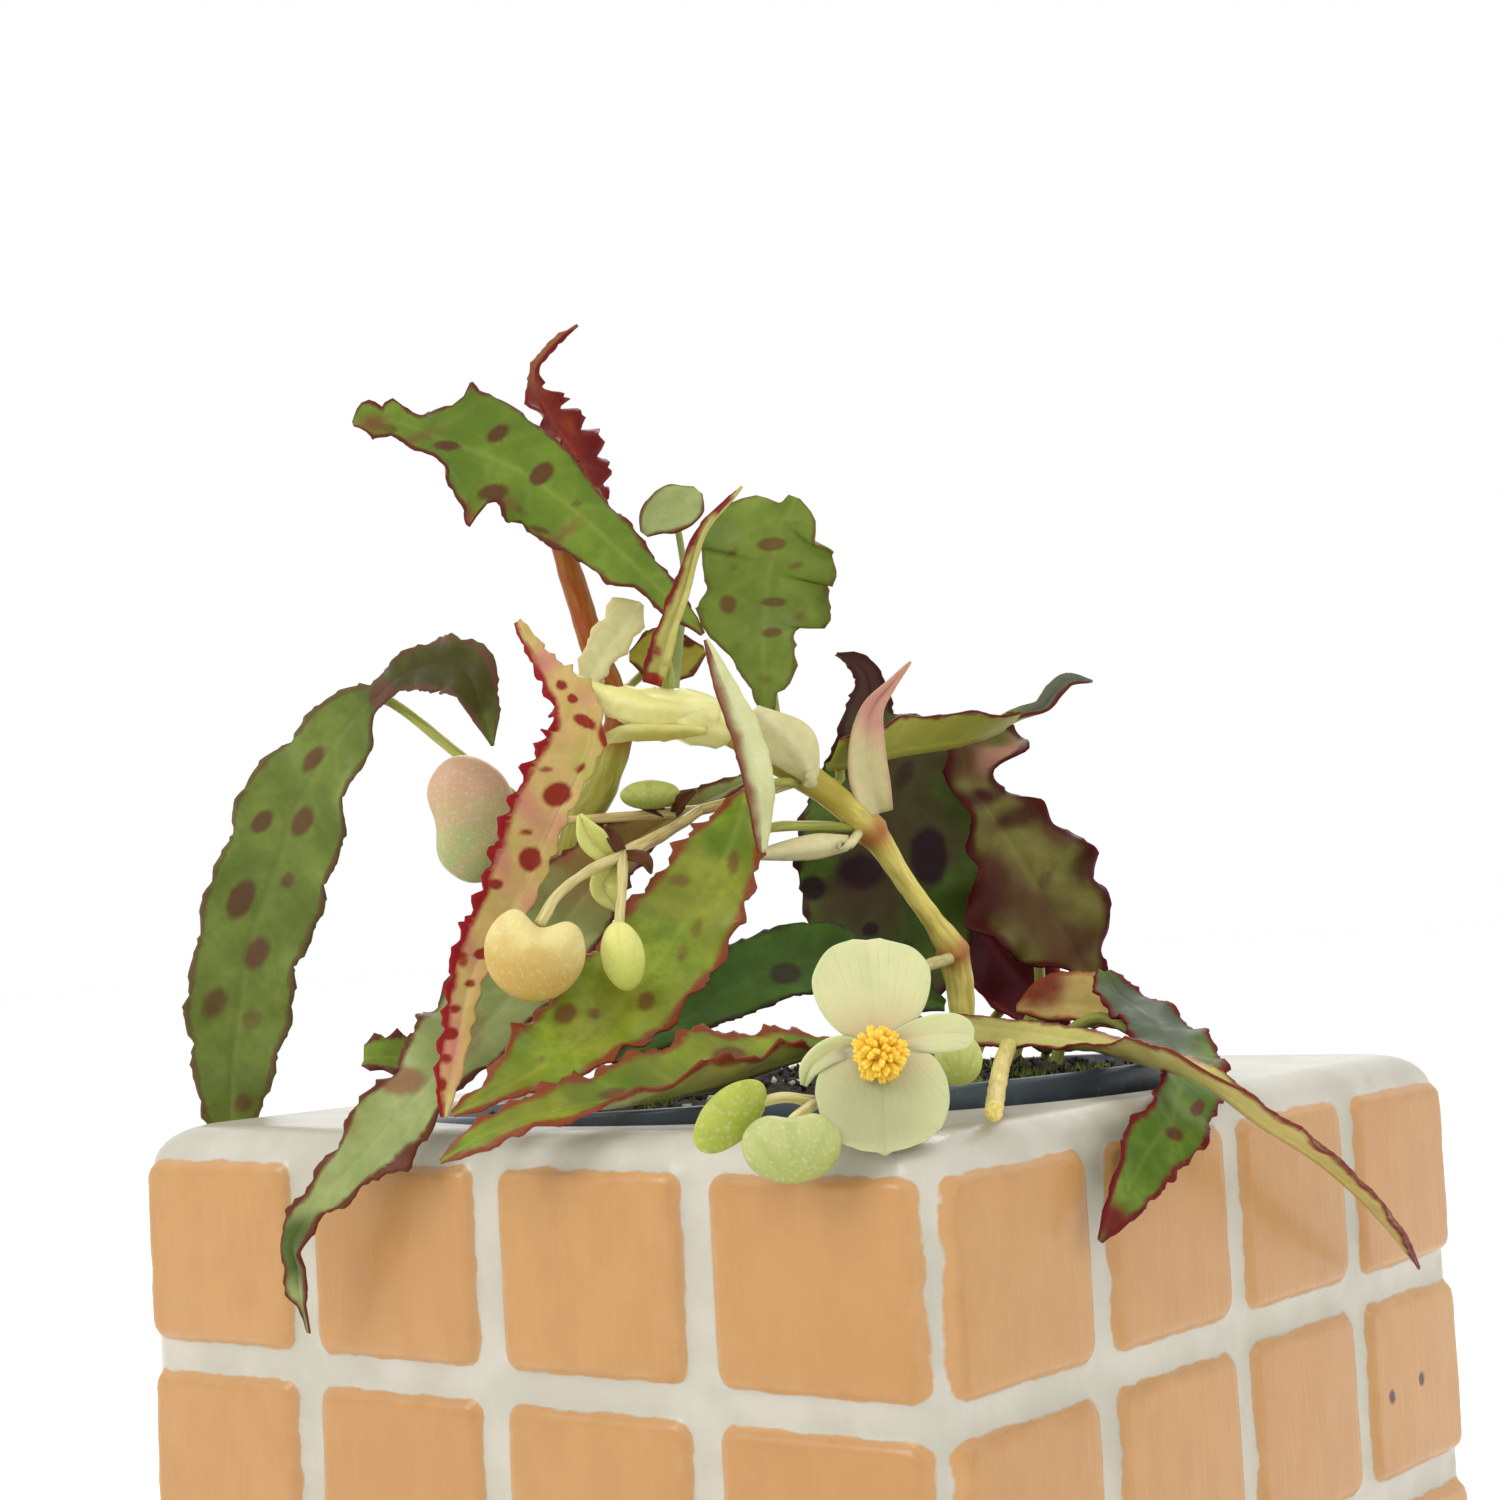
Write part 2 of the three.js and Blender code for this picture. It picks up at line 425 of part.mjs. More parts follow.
const LEAVES = {
  leaf_top: {
    colour: LEAF_GREEN,
    rib: [
      [-39.93, -17, 149.73, 0.3, 0.3], [-38.65, -16.6, 150.02, 1.9, 1.9],
      [-37.31, -16.1, 149.95, 1.3, 1.6], [-36.41, -15.7, 149.98, 2.1, 1.6],
      [-35.36, -15.1, 149.75, 1.5, 1.8], [-33.95, -14.4, 149.23, 1.8, 2.5],
      [-32.48, -13.3, 148.68, 3.4, 3.2], [-31.43, -12.6, 148.27, 4.6, 4.4],
      [-30.8, -12.3, 148, 7.4, 5.2], [-29.98, -12, 147.72, 6.8, 6], [-28.4, -11.6, 147.22, 6.9, 7],
      [-27.02, -11.2, 146.54, 6.8, 8], [-26.37, -11.1, 146.23, 6.6, 5.2],
      [-25.15, -10.9, 145.61, 6, 4.5], [-23.39, -10.6, 144.39, 5, 5.2],
      [-22.36, -10.6, 143.55, 4.5, 4.1], [-20.77, -10.7, 142.18, 3.9, 4.4],
      [-18.8, -11.1, 140.25, 3.2, 4.4], [-17.1, -11.7, 138.52, 2.8, 3.2],
      [-15.41, -12.4, 136.67, 2.5, 2.8], [-13.92, -13.1, 135.05, 2.1, 3.1],
      [-13.09, -13.4, 134.1, 1.9, 1.6], [-11.61, -14.3, 132.36, 1.6, 1.4],
      [-9.86, -15.5, 130.31, 1.1, 1.2], [-7.95, -17, 128.04, 0.35, 0.35],
    ],
    face: [[-0.2, -0.95, 0.3], NEAR_UP, NEAR_UP, NEAR_UP, [0.2, -0.9, 0.4]],
    fold: [10, 5, -8, 0, 20],
    wave: [0.6, 8.5, 0.4],
    teeth: [0.2, 3.4],
    cells: 2,
    stalk: { at: 0.5, to: [[-22, -5.6, 141]], radius: [0.9, 1.1] },
    carrier: 'second',
  },
  leaf_top_back: {
    colour: '#8c3a2a',
    rib: [
      [-19.5, 4, 163, 0.2, 0.2], [-22, 3, 161, 0.35, 0.35], [-23.5, 1.5, 158.5, 0.45, 0.45],
      [-23.3, 0.5, 155, 1.4, 1.4], [-20.5, 0.5, 152, 2.4, 2.8], [-18.2, 1, 148.5, 2.4, 2.9],
      [-16.5, 2, 144.5, 0.5, 0.5],
    ],
    face: [[0.5, -0.6, 0.4], [0.6, -0.4, 0.6]],
    fold: [10, 25],
    wave: [0.9, 4.4, 0],
    teeth: [0.8, 2.2],
    stalk: { at: 0.78, to: [[-19, 1, 144], [-21, -4.6, 138.2]], radius: [0.5, 0.6] },
    carrier: 'second',
  },
  leaf_left: {
    colour: LEAF_GREEN,
    rib: [
      [-28, -18, 118.5, 0.15, 0.15], [-29, -17, 122, 1.3, 1.4], [-30.6, -14.6, 125.8, 2.5, 2.3],
      [-33.6, -11, 127.2, 2.4, 2.1], [-37.5, -6.4, 126.8, 1.3, 1.5], [-40.5, -2, 125.4, 1.2, 1.3],
      [-44.5, 2, 122.5, 3.5, 3.3], [-50, 5, 115.5, 5.7, 5.5], [-53.5, 8, 108.5, 5.9, 5.6],
      [-57, 10, 100.5, 5.4, 5.3], [-58.5, 11, 93.5, 5, 4.9], [-59.5, 11, 87, 3.7, 3.5],
      [-60, 11, 80, 0.6, 0.6],
    ],
    face: [
      [0.4, -0.9, 0.1], [-0.2, -0.95, 0.1], [-0.5, -0.85, 0.15], [-0.1, -1, 0.1], [-0.1, -1, 0],
      [0, -1, 0.1],
    ],
    fold: [12, 8, 10, 10, 8],
    wave: [1, 11, 1],
    teeth: [0.7, 5.6],
    cells: 2,
    stalk: { at: 0.335, to: [[-32.5, -3, 118.5], [-27, -5, 114], [-22.2, -8.4, 110.8]], radius: [0.5, 0.6] },
    carrier: 'second',
  },
  leaf_right_top: {
    colour: LEAF_GREEN,
    rib: [
      [1.88, 3, 143.82, 0.61, 0.71], [1.3, 3.4, 142.47, 3.17, 2.86], [0.43, 3.9, 141.35, 5.01, 7.67],
      [-0.28, 4.5, 139.62, 5.94, 7.89], [-0.91, 5, 137.34, 6.67, 7.39], [-1.15, 5.2, 136.65, 5.95, 6.98],
      [-1.47, 5.5, 134.53, 6.16, 5.96], [-1.63, 5.7, 133.32, 6.58, 6.58],
      [-1.8, 5.9, 132.01, 6.37, 6.99], [-1.94, 6, 131.3, 4.01, 6.38], [-2.02, 6, 129.85, 2.88, 5.35],
      [-2.11, 5.6, 128.06, 3.08, 3.39], [-2.11, 5.2, 126.26, 3.07, 2.36],
      [-2.09, 4.7, 124.67, 2.35, 1.53], [-2.12, 4.6, 124.05, 1.12, 1.33],
      [-2.02, 3.8, 122.03, 0.71, 0.61],
    ],
    face: [[0, -0.9, 0.4], NEAR, [-0.1, -1, -0.1]],
    fold: [6, 0, 10],
    wave: [0.7, 8, 2],
    teeth: [0.3, 3],
    cells: 2,
    stalk: { at: 0.62, to: [[-1, 7, 119.5], [0.2, -1, 115.6], [-0.4, -12.3, 115.5]], radius: [0.55, 0.6] },
    carrier: 'main',
  },
  bract_pale: {
    colour: '#a9ab86',
    rib: [
      [-13.3, -7.5, 139.2, 0.5, 0.5], [-12.2, -7.4, 140.4, 1.9, 1.9], [-10.5, -7.2, 141.4, 2.6, 2.6],
      [-8.9, -7, 142.4, 2.2, 2.3], [-7.8, -6.7, 143.4, 0.6, 0.6],
    ],
    face: [[-0.1, -1, 0.3]],
    fold: [8, 8],
    stalk: { at: 0.55, to: [[-9.6, -5.4, 135], [-10.4, -8, 128], [-11, -14.8, 121.6]], radius: [0.35, 0.4] },
    carrier: 'shoot',
  },
  leaf_upright: {
    colour: LEAF_PALE,
    rib: [
      [-12.6, -17.4, 123.4, 1.3, 1.2], [-11.2, -17.8, 127.4, 1.4, 1.3], [-9.1, -18, 132.6, 1.1, 1],
      [-7.3, -17, 137.8, 0.6, 0.6], [-3.5, -15, 142.2, 0.15, 0.15],
    ],
    face: [[-0.3, -0.9, 0], [-0.5, -0.8, 0.1]],
    fold: [35, 45, 20],
    wave: [0.3, 6, 0],
    teeth: [0.2, 3],
    stalk: { at: 0.1, to: [[-11.8, -16.4, 121.3]], radius: [0.6, 0.7] },
    carrier: 'shoot',
  },
  leaf_cream: {
    colour: LEAF_CREAM,
    rib: [
      [-25.5, -14, 130.5, 0.4, 0.4], [-22.8, -17.5, 126, 1.1, 1], [-19.3, -20.8, 121.8, 1.7, 2.8],
      [-18, -22.8, 118.3, 1.4, 4.4], [-21, -24.5, 111.2, 1.8, 4.8], [-24.3, -26.8, 104.2, 2.6, 4.4],
      [-28.2, -30.2, 98, 2, 2.8], [-29.6, -33.2, 93.6, 1.3, 1.9], [-30.7, -35.6, 89.6, 1, 1.4],
      [-31.6, -37.4, 85.6, 0.3, 0.3],
    ],
    face: [[-0.4, -0.9, 0.2], [-0.2, -1, 0.1], [0.1, -1, 0], [0, -1, 0.1], [-0.3, -0.9, 0.3]],
    fold: [10, 25, 30, 20, 30],
    wave: [0.5, 4.4, 0],
    teeth: [0.7, 2.9],
    stalk: { at: 0.22, to: [[-17.4, -18.6, 122.2]], radius: [0.6, 0.7] },
    carrier: 'shoot',
  },
  leaf_front: {
    colour: '#86a535',
    rib: [
      [-4.5, -19, 113, 0.6, 0.4], [-6.5, -22, 107.5, 2.8, 3.3], [-11, -26, 100.5, 4.5, 4.2],
      [-16, -30, 94.6, 4.6, 3.7], [-21.5, -34.5, 90.3, 3.3, 3], [-26.5, -38, 87.6, 1.6, 1.8],
      [-30.5, -40.4, 86, 0.3, 0.3],
    ],
    face: [[0.1, -1, 0.2], [0, -0.95, 0.3], NEAR_UP, [0, -0.6, 0.8]],
    fold: [10, 14, 14, 10],
    wave: [0.9, 9, 0.6],
    teeth: [0.5, 3.6],
    cells: 2,
    stalk: { at: 0.1, to: [[-2, -15.5, 109.6], [5.6, -8.9, 109.4]], radius: [0.45, 0.55] },
    carrier: 'main',
  },
  leaf_over_left: {
    colour: '#9fae62',
    rib: [
      [-0.5, -5.5, 116, 0.4, 0.4], [-5.5, -7, 114, 1.1, 1.1], [-10, -9, 112, 1.4, 1.4],
      [-15, -12, 109.3, 1.8, 1.8], [-19.5, -16, 105, 3.2, 3.2], [-24, -21, 98.7, 4.3, 4.5],
      [-28.5, -27, 93, 4.2, 4.6], [-33, -31.8, 88.6, 3.8, 3.9], [-36.6, -33, 85, 3.3, 3.3],
      [-39.6, -32.8, 82, 2.8, 2.8], [-42.2, -32.2, 79.6, 1.9, 2], [-43.9, -31.6, 78.1, 0.9, 0.9],
      [-45, -31.2, 76.7, 1.2, 1.1], [-46, -30.6, 74.7, 1.3, 1.2], [-45.9, -30, 72.6, 1, 1],
      [-46, -29.4, 70.6, 0.8, 0.8], [-45.8, -29, 69.4, 0.3, 0.3], [-45.5, -28.4, 66.7, 0.25, 0.25],
    ],
    face: [[0, -0.8, 0.7], [0, -0.9, 0.5], NEAR_UP, [-0.3, -0.8, 0.6], LEFT_FACE, LEFT_FACE],
    fold: [45, 20, 10, 12, 10, 30],
    wave: [0.8, 9.5, 0],
    teeth: [0.5, 4.4],
    cells: 1,
    stalk: { at: 0.3, to: [[-20.8, -10.6, 104.6]], radius: [0.55, 0.6] },
    carrier: 'second',
    lobes: [[0.73, -1, 1.7, 0.9]],
  },
  leaf_rim_front: {
    colour: '#8aa544',
    rib: [
      [3.5, -27, 89.6, 0.5, 0.5], [-2, -31, 88.6, 2.8, 2.8], [-8, -35.5, 87.2, 4, 4.8],
      [-14.8, -39.8, 86.4, 3.2, 3.8], [-20.8, -42.6, 86, 2, 2.2], [-26.8, -44, 84.6, 1.4, 1.4],
      [-31.3, -43.8, 82.4, 0.25, 0.25],
    ],
    face: [UP, UP, UP, [0, -0.6, 0.8], [-0.3, -0.8, 0.5]],
    fold: [35, 45, 40, 18, 5],
    wave: [0.5, 8, 2],
    teeth: [0.5, 3.4],
    stalk: { at: 0.1, to: [[8, -14, 87.2], [14, -1.4, 86.2]], radius: [0.5, 0.6] },
    carrier: 'main',
  },
  leaf_low_dark: {
    colour: '#3f5a30',
    rib: [
      [-18.5, -14, 88.3, 0.3, 0.3], [-12.1, -8, 91.5, 2.2, 2.2], [-4.2, -2, 95.6, 3.9, 3.7],
      [2.9, 2, 96.4, 3.7, 3.6], [9.4, 5, 93.6, 2.6, 2.6], [14.5, 7.4, 91.2, 0.6, 0.6],
    ],
    face: [[0, -0.9, 0.45], [0, -0.9, 0.4]],
    fold: [10, 10],
    wave: [0.4, 11, 0],
    teeth: [0.25, 5],
    stalk: { at: 0.82, to: [[11.5, 7.8, 90], [14.2, 4.6, 88.4], [15.2, 1.3, 88.2]], radius: [0.5, 0.6] },
    carrier: 'main',
  },
  leaf_dark_back: {
    colour: LEAF_DARK,
    rib: [
      [6, 24, 129.5, 0.3, 0.3], [9, 22, 125.5, 2.4, 2.2], [10.6, 20.5, 118.5, 6.4, 6.6],
      [11, 19.5, 110, 9.2, 10.2], [11, 19, 102.5, 8.8, 10], [11.5, 18.5, 96, 6.2, 7.6],
      [11, 18, 90.6, 1.6, 1.6],
    ],
    face: [[0.5, -0.9, 0.2], NEAR, [0, -1, 0.2], NEAR_UP],
    fold: [30, 10, 8, 12],
    wave: [1.1, 12, 1],
    teeth: [0.6, 4.6],
    cells: 2,
    stalk: { at: 0.8, to: [[11, 23, 92], [10, 20, 86], [9, 17, 78]], radius: [0.6, 0.7] },
    root: true,
  },
  leaf_olive_back: {
    colour: '#66683a',
    rib: [
      [17, 12.5, 120.6, 1.2, 0.4], [17.4, 12.5, 118.6, 5.2, 1.2], [17.9, 12.3, 116.3, 6.2, 1.6],
      [18.5, 12, 114.2, 2.2, 1.6], [20, 11.5, 111.8, 3.2, 2.4], [22.8, 11, 106.8, 5.8, 5.2],
      [24.8, 10.5, 102.7, 6.8, 8.8], [27.3, 10, 98, 5.2, 6.5], [30.2, 9, 92.6, 1, 1.2],
      [31, 8.6, 91.4, 0.3, 0.3],
    ],
    face: [[0.5, -0.8, 0.3], [0.2, -0.9, 0.4], [0.1, -0.9, 0.5], [0.3, -0.8, 0.5]],
    fold: [20, 8, 12, 18],
    wave: [1, 8, 3],
    teeth: [0.6, 3.8],
    cells: 2,
    stalk: { at: 0.6, to: [[25, 14.5, 92], [22, 12, 86], [20, 9, 78]], radius: [0.55, 0.65] },
    root: true,
  },
  leaf_red_low: {
    colour: '#6a2226',
    rib: [
      [17.5, 25, 104, 0.7, 0.7], [20.5, 25, 98.5, 3.7, 3.7], [24, 24, 94, 3.7, 3.7],
      [28, 22, 89.6, 0.8, 0.8],
    ],
    face: [NEAR, NEAR_UP],
    fold: [15, 15],
    wave: [0.6, 8, 0],
    teeth: [0.4, 4],
    stalk: { at: 0.66, to: [[21, 24, 89], [18, 21, 84], [16, 19, 78]], radius: [0.5, 0.6] },
    root: true,
  },
  leaf_edge_on: {
    colour: '#a39a52',
    rib: [
      [3.4, -9.4, 115.4, 0.6, 0.8], [11, -1, 117.4, 3, 4.1], [17.5, 4, 118.6, 3, 4.1],
      [22.5, 7.4, 120.6, 1.9, 2.2], [25.7, 8.8, 121.8, 0.9, 0.9], [27.6, 9.5, 123.3, 0.9, 0.9],
      [29, 10, 124.4, 0.8, 0.8], [32, 10, 124, 0.2, 0.2],
    ],
    face: [[0, -0.3, 0.95], [0, -0.3, 0.95], [0, -0.6, 0.8], [0.2, -0.9, 0.3]],
    fold: [30, 52, 45, 10],
    wave: [0.3, 9, 0],
    teeth: [0.25, 4.4],
    stalk: { at: 0.05, to: [[1.6, -10.9, 113.6]], radius: [0.5, 0.6] },
    carrier: 'main',
  },
  leaf_yellow_low: {
    colour: '#c9b56a',
    rib: [
      [23, 2, 90.3, 0.4, 0.4], [26.6, 2.6, 90.6, 1.7, 1.7], [30, 2.4, 90, 2, 2],
      [32.6, 1, 88.4, 0.5, 0.5],
    ],
    face: [[0, -0.8, 0.6], [0, -0.9, 0.4]],
    fold: [10, 10],
    wave: [0.3, 5, 0],
    teeth: [0.3, 3],
    stalk: { at: 0.4, to: [[22, 4.8, 88], [20.6, 5.2, 78]], radius: [0.45, 0.5] },
    root: true,
  },
  leaf_low_right: {
    colour: '#4a3d28',
    rib: [[21.4, 7.6, 88.4, 0.5, 0.5], [24.8, 7.4, 87, 1.6, 1.4], [28.4, 6.4, 86.4, 0.4, 0.4]],
    face: [[0.1, -0.8, 0.6]],
    fold: [12],
    wave: [0.3, 5, 0],
    teeth: [0.3, 3],
    stalk: { at: 0.5, to: [[24.4, 9, 84.6], [24.4, 9.4, 78]], radius: [0.45, 0.5] },
    root: true,
  },
  leaf_long_right: {
    colour: '#a9a24e',
    rib: [
      [11.6, -3.4, 89.9, 0.3, 0.3], [15, -5.6, 89.7, 0.9, 1.6], [18.6, -9, 89, 1.4, 2.4],
      [23.2, -16, 88.5, 1.6, 3.2], [28.4, -27, 87.2, 1.6, 3.6], [33, -41.6, 85.4, 1.5, 3.3],
      [37.4, -38.4, 82, 1.3, 2.6], [44, -30.2, 77.6, 1.2, 2.4], [49.5, -22.4, 73, 1, 2],
      [54, -15.2, 68.4, 0.8, 1.3], [57.2, -9.4, 64.6, 0.2, 0.2],
    ],
    face: [UP, UP, UP, [0.3, -0.5, 0.8], [0.788, -0.3, 0.5], [0.788, -0.4, 0.4], RIGHT_FACE],
    fold: [35, 50, 50, 45, 40, 30],
    wave: [0.2, 9, 0],
    teeth: [0.3, 4.8],
    stalk: { at: 0.035, to: [[14.8, -1.2, 88.6]], radius: [0.5, 0.6] },
    carrier: 'main',
  },
  leaf_hang_right: {
    colour: '#6f8a44',
    rib: [
      [30.2, 1, 94.2, 0.8, 0.8], [31, -3, 92.2, 2.2, 2.4], [33.2, -10, 90, 3.6, 3.6],
      [34.6, -18, 87.4, 4.2, 3.8], [34, -26, 85.4, 4.2, 2], [32.8, -33, 84.6, 4, 1.6],
      [31, -40.6, 82.2, 3.4, 2.4], [28.2, -45, 80.2, 3, 3], [26, -49, 77.9, 2.1, 2.1],
      [23.4, -52, 74.4, 0.3, 0.3],
    ],
    face: [
      [0.2, -0.8, 0.5], [0.2, -0.6, 0.8], [0.1, -0.5, 0.85], [0.5, -0.7, 0.5], [0.5, -0.85, 0.1],
      [0.5, -0.85, 0.1],
    ],
    fold: [20, 8, 4, 10, 10, 14],
    wave: [0.6, 8, 1],
    teeth: [0.6, 3.2],
    stalk: { at: 0.22, to: [[28.6, -4, 89.6], [25.2, -2.4, 87.4], [24, -2, 78]], radius: [0.6, 0.65] },
    root: true,
  },
  leaf_pale_narrow: {
    colour: '#bdb98a',
    rib: [
      [-7.5, -21.5, 127, 0.25, 0.25], [-6, -22.6, 122.5, 1, 1], [-4.2, -24.4, 117.5, 1.4, 1.4],
      [-3.3, -25.6, 112.5, 1.3, 1.3], [-3.4, -25.4, 107, 0.4, 0.4],
    ],
    face: [[0.2, -1, 0.1], [0.1, -1, 0], NEAR],
    fold: [10, 20, 15],
    wave: [0.2, 6, 0],
    teeth: [0.15, 3.4],
    stalk: { at: 0.68, to: [[-1.6, -19, 113.6], [0.2, -13.8, 113.8]], radius: [0.35, 0.45] },
    carrier: 'main',
  },
  stipule_node: {
    colour: '#cfc79a',
    rib: [[1.8, -14.6, 113.8, 0.8, 0.8], [0, -17.4, 117, 2.5, 2.8], [-3.3, -19.2, 120.6, 0.4, 0.4]],
    face: [[0, 1, 0.1]],
    fold: [15, 25],
    teeth: [0, 2],
    thick: PETAL,
    stalk: { at: 0.12, to: [[1.1, -12.8, 113.9]], radius: [0.5, 0.6] },
    carrier: 'main',
  },
  stipule_pink: {
    colour: '#d3b39a',
    rib: [
      [8.2, -9.6, 110.6, 1.3, 1.4], [7.5, -10, 113.5, 1.7, 1.8], [7.4, -10, 117, 1.5, 1.6],
      [8, -9.5, 120.4, 1.1, 1.1], [9.9, -8.6, 123, 0.6, 0.6], [12.1, -7.6, 125.3, 0.15, 0.15],
    ],
    face: [[-0.2, -1, 0], [0.3, -1, 0]],
    fold: [25, 30, 40],
    teeth: [0, 2.4],
    thick: PETAL,
    stalk: { at: 0.06, to: [[6.9, -8.3, 109.8]], radius: [0.45, 0.6] },
    carrier: 'main',
  },
  stipule_low: {
    colour: '#cdc08c',
    rib: [[5, -12.2, 107.8, 0.8, 0.8], [1.5, -14, 107.5, 1.3, 1.3], [-4, -16.6, 107, 0.5, 0.5]],
    face: [[0, 1, 0.2]],
    fold: [20, 25],
    teeth: [0, 2],
    thick: PETAL,
    stalk: { at: 0.12, to: [[6.2, -8.6, 109]], radius: [0.45, 0.5] },
    carrier: 'main',
  },
  leaf_small_spot: {
    colour: '#93973c',
    rib: [
      [-15.5, -4, 127.6, 0.6, 0.6], [-13, -3.6, 127.4, 2.9, 2.9], [-10.4, -3.6, 127.2, 2.7, 2.7],
      [-8, -4, 127.8, 0.5, 0.5],
    ],
    face: [[0, -1, 0.3]],
    fold: [15, 15],
    wave: [0.4, 5, 0],
    teeth: [0.4, 3],
    stalk: { at: 0.3, to: [[-15.4, -3, 125], [-17.3, -8.4, 124]], radius: [0.4, 0.45] },
    carrier: 'second',
  },
  stipule_cream: {
    colour: '#cfc79a',
    rib: [[-18.6, -14.6, 124.2, 0.7, 0.7], [-16.6, -12.4, 128, 1.5, 1.5], [-13.8, -11.6, 131.6, 0.4, 0.4]],
    face: [[0.2, -1, 0]],
    fold: [15, 20],
    teeth: [0, 2.4],
    thick: PETAL,
    stalk: { at: 0.14, to: [[-17.8, -9.6, 124.6]], radius: [0.45, 0.5] },
    carrier: 'second',
  },
  leaf_small_left: {
    colour: '#7d8a66',
    rib: [[-38.8, -25, 90.6, 0.9, 0.9], [-36, -24.6, 90.2, 1.2, 1.2], [-32.6, -24, 90.2, 0.9, 0.9]],
    face: [[0, -0.7, 0.7]],
    fold: [25, 25],
    wave: [0.2, 5, 0],
    teeth: [0.4, 2.6],
    stalk: { at: 0.9, to: [[-26, -17.6, 90.4], [-19, -8.2, 92]], radius: [0.4, 0.45] },
    carrier: 'second',
  },
};

function leafSolid(spec, carriers) {
  const joined = blade(spec).add(leafStalk(spec, spec.stalk));
  return spec.carrier ? joined.subtract(carriers[spec.carrier]) : joined;
}

// Flattened bud with a notch where its stalk comes in, seen from the front; grow swells it all round
function budSolid({ at, size, notch = 0, tilt = 0, turn = 0 }, grow = 0) {
  const ball = new THREE.SphereGeometry(1, 12, 7);
  const place = ball.attributes.position;
  const [width, depth, height] = size.map((side) => side / 2 + grow);
  for (let i = 0; i < place.count; i += 1) {
    const [x, y, z] = [place.getX(i), place.getZ(i), place.getY(i)];
    const dent = notch * Math.exp(-((x / 0.42) ** 2)) * Math.max(0, z);
    place.setXYZ(i, x * width, -y * depth, (z - dent) * height);
  }
  ball.rotateY(degrees(tilt)).rotateZ(degrees(turn)).translate(...at);
  return solidOf(ball);
}

const BUDS = {
  bud_left: { colour: '#cdbb8b', at: [-31, -12, 112], size: [12.6, 6.5, 9.2], notch: 0.16, tilt: 80 },
  bud_ochre: { colour: '#c9ad5c', at: [-23.4, -35.5, 99.2], size: [9, 5, 8.6], notch: 0.45, tilt: 16 },
  bud_oval: { colour: BUD_YELLOW, at: [-16, -32, 98.4], size: [3.9, 3.4, 6.2], tilt: -8 },
  bud_olive: { colour: '#9ba348', at: [-13, -16.5, 113.2], size: [7, 3, 2.6], tilt: 0 },
  bud_behind: { colour: '#c3cb86', at: [11.7, -47.5, 88.8], size: [4, 2.4, 4.4], notch: 0 },
  bud_kidney_low: { colour: '#b6c580', at: [-2.3, -62, 83.8], size: [7.8, 4.6, 5.8], notch: 0.28, tilt: 0 },
  bud_oval_low: { colour: '#b3bd4e', at: [-6.9, -59, 86], size: [7.2, 2, 4], notch: 0, tilt: -42 },
};

// Two small boat-shaped tepals, open towards their stalk
const BUD_HALVES = [
  {
    rib: [[-19.4, -27, 110.6, 0.3, 0.3], [-18.4, -26.4, 108.6, 1.2, 1.2], [-16.4, -24.8, 107.2, 0.5, 0.5]],
    face: [[0.3, -1, 0]],
    fold: [30, 30],
    teeth: [0, 2],
    thick: PETAL,
  },
  {
    rib: [[-16.4, -24.8, 107.2, 0.5, 0.5], [-18, -26, 104.8, 1.2, 1.2], [-16.8, -26, 102.8, 0.3, 0.3]],
    face: [[0.2, -1, 0]],
    fold: [30, 30],
    teeth: [0, 2],
    thick: PETAL,
  },
];

// Open flower: offsets from its middle
const FLOWER = [4.9, -56, 90.1];
const TEPALS = [
  {
    rib: [
      [0, 0.2, 0.6, 1.4, 1.4], [-0.1, 0.2, 2.4, 3.4, 3.4], [-0.2, 0.3, 4.4, 4.5, 4.5],
      [-0.3, 0.8, 6.2, 4.6, 4.6], [-0.4, 1.4, 7.8, 3.4, 3.4], [-0.4, 2, 8.8, 1.1, 1.1],
    ],
    fold: [4, 12],
  },
  {
    rib: [
      [0, -0.2, -0.8, 1.7, 2.1], [0, -1, -2.4, 3.9, 4.4], [0, -2, -3.9, 4.9, 4.9],
      [-0.1, -3.8, -5, 4.6, 4.6], [-0.2, -5.5, -5.7, 3.4, 3.4], [-0.2, -6.9, -6.2, 1.4, 1.4],
      [-0.2, -7.5, -6.4, 0.4, 0.4],
    ],
    fold: [4, 10],
  },
  {
    rib: [
      [-0.8, 0.1, 0.2, 0.8, 0.8], [-3.4, -0.4, 0.4, 1.1, 1.1], [-5.4, -0.8, -0.8, 0.9, 0.9],
      [-6, -0.8, -2.2, 0.3, 0.3],
    ],
    fold: [15, 35],
  },
  {
    rib: [
      [0.8, 0.1, 0.6, 0.8, 0.8], [3.6, -0.4, 1.2, 1.4, 1.4], [5.8, -0.4, 1.3, 1.5, 1.5],
      [7, -0.3, 1.1, 1.1, 1.1], [7.5, -0.2, 1, 0.4, 0.4],
    ],
    fold: [10, 10],
  },
];
const STAMEN_RINGS = [[1, 0, 0], [6, 38, 0.3], [9, 76, 0.1]];
const STAMEN_LENGTH = 2.2;
const STAMEN_RADIUS = 0.5;

const offset = ([x, y, z]) => [FLOWER[0] + x, FLOWER[1] + y, FLOWER[2] + z];

function tepalSolid() {
  const petals = TEPALS.map(({ rib, fold }) => blade({
    rib: rib.map(([x, y, z, left, right]) => [...offset([x, y, z]), left, right]),
    face: [[0, -1, 0.1]],
    fold,
    teeth: [0, 2.4],
    cells: 2,
    thick: PETAL,
  }));
  const base = new THREE.SphereGeometry(1.5, 10, 6);
  base.scale(1, 0.6, 1).translate(...offset([0, 0.4, 0]));
  return petals.reduce((bloom, petal) => bloom.add(petal), solidOf(base));
}

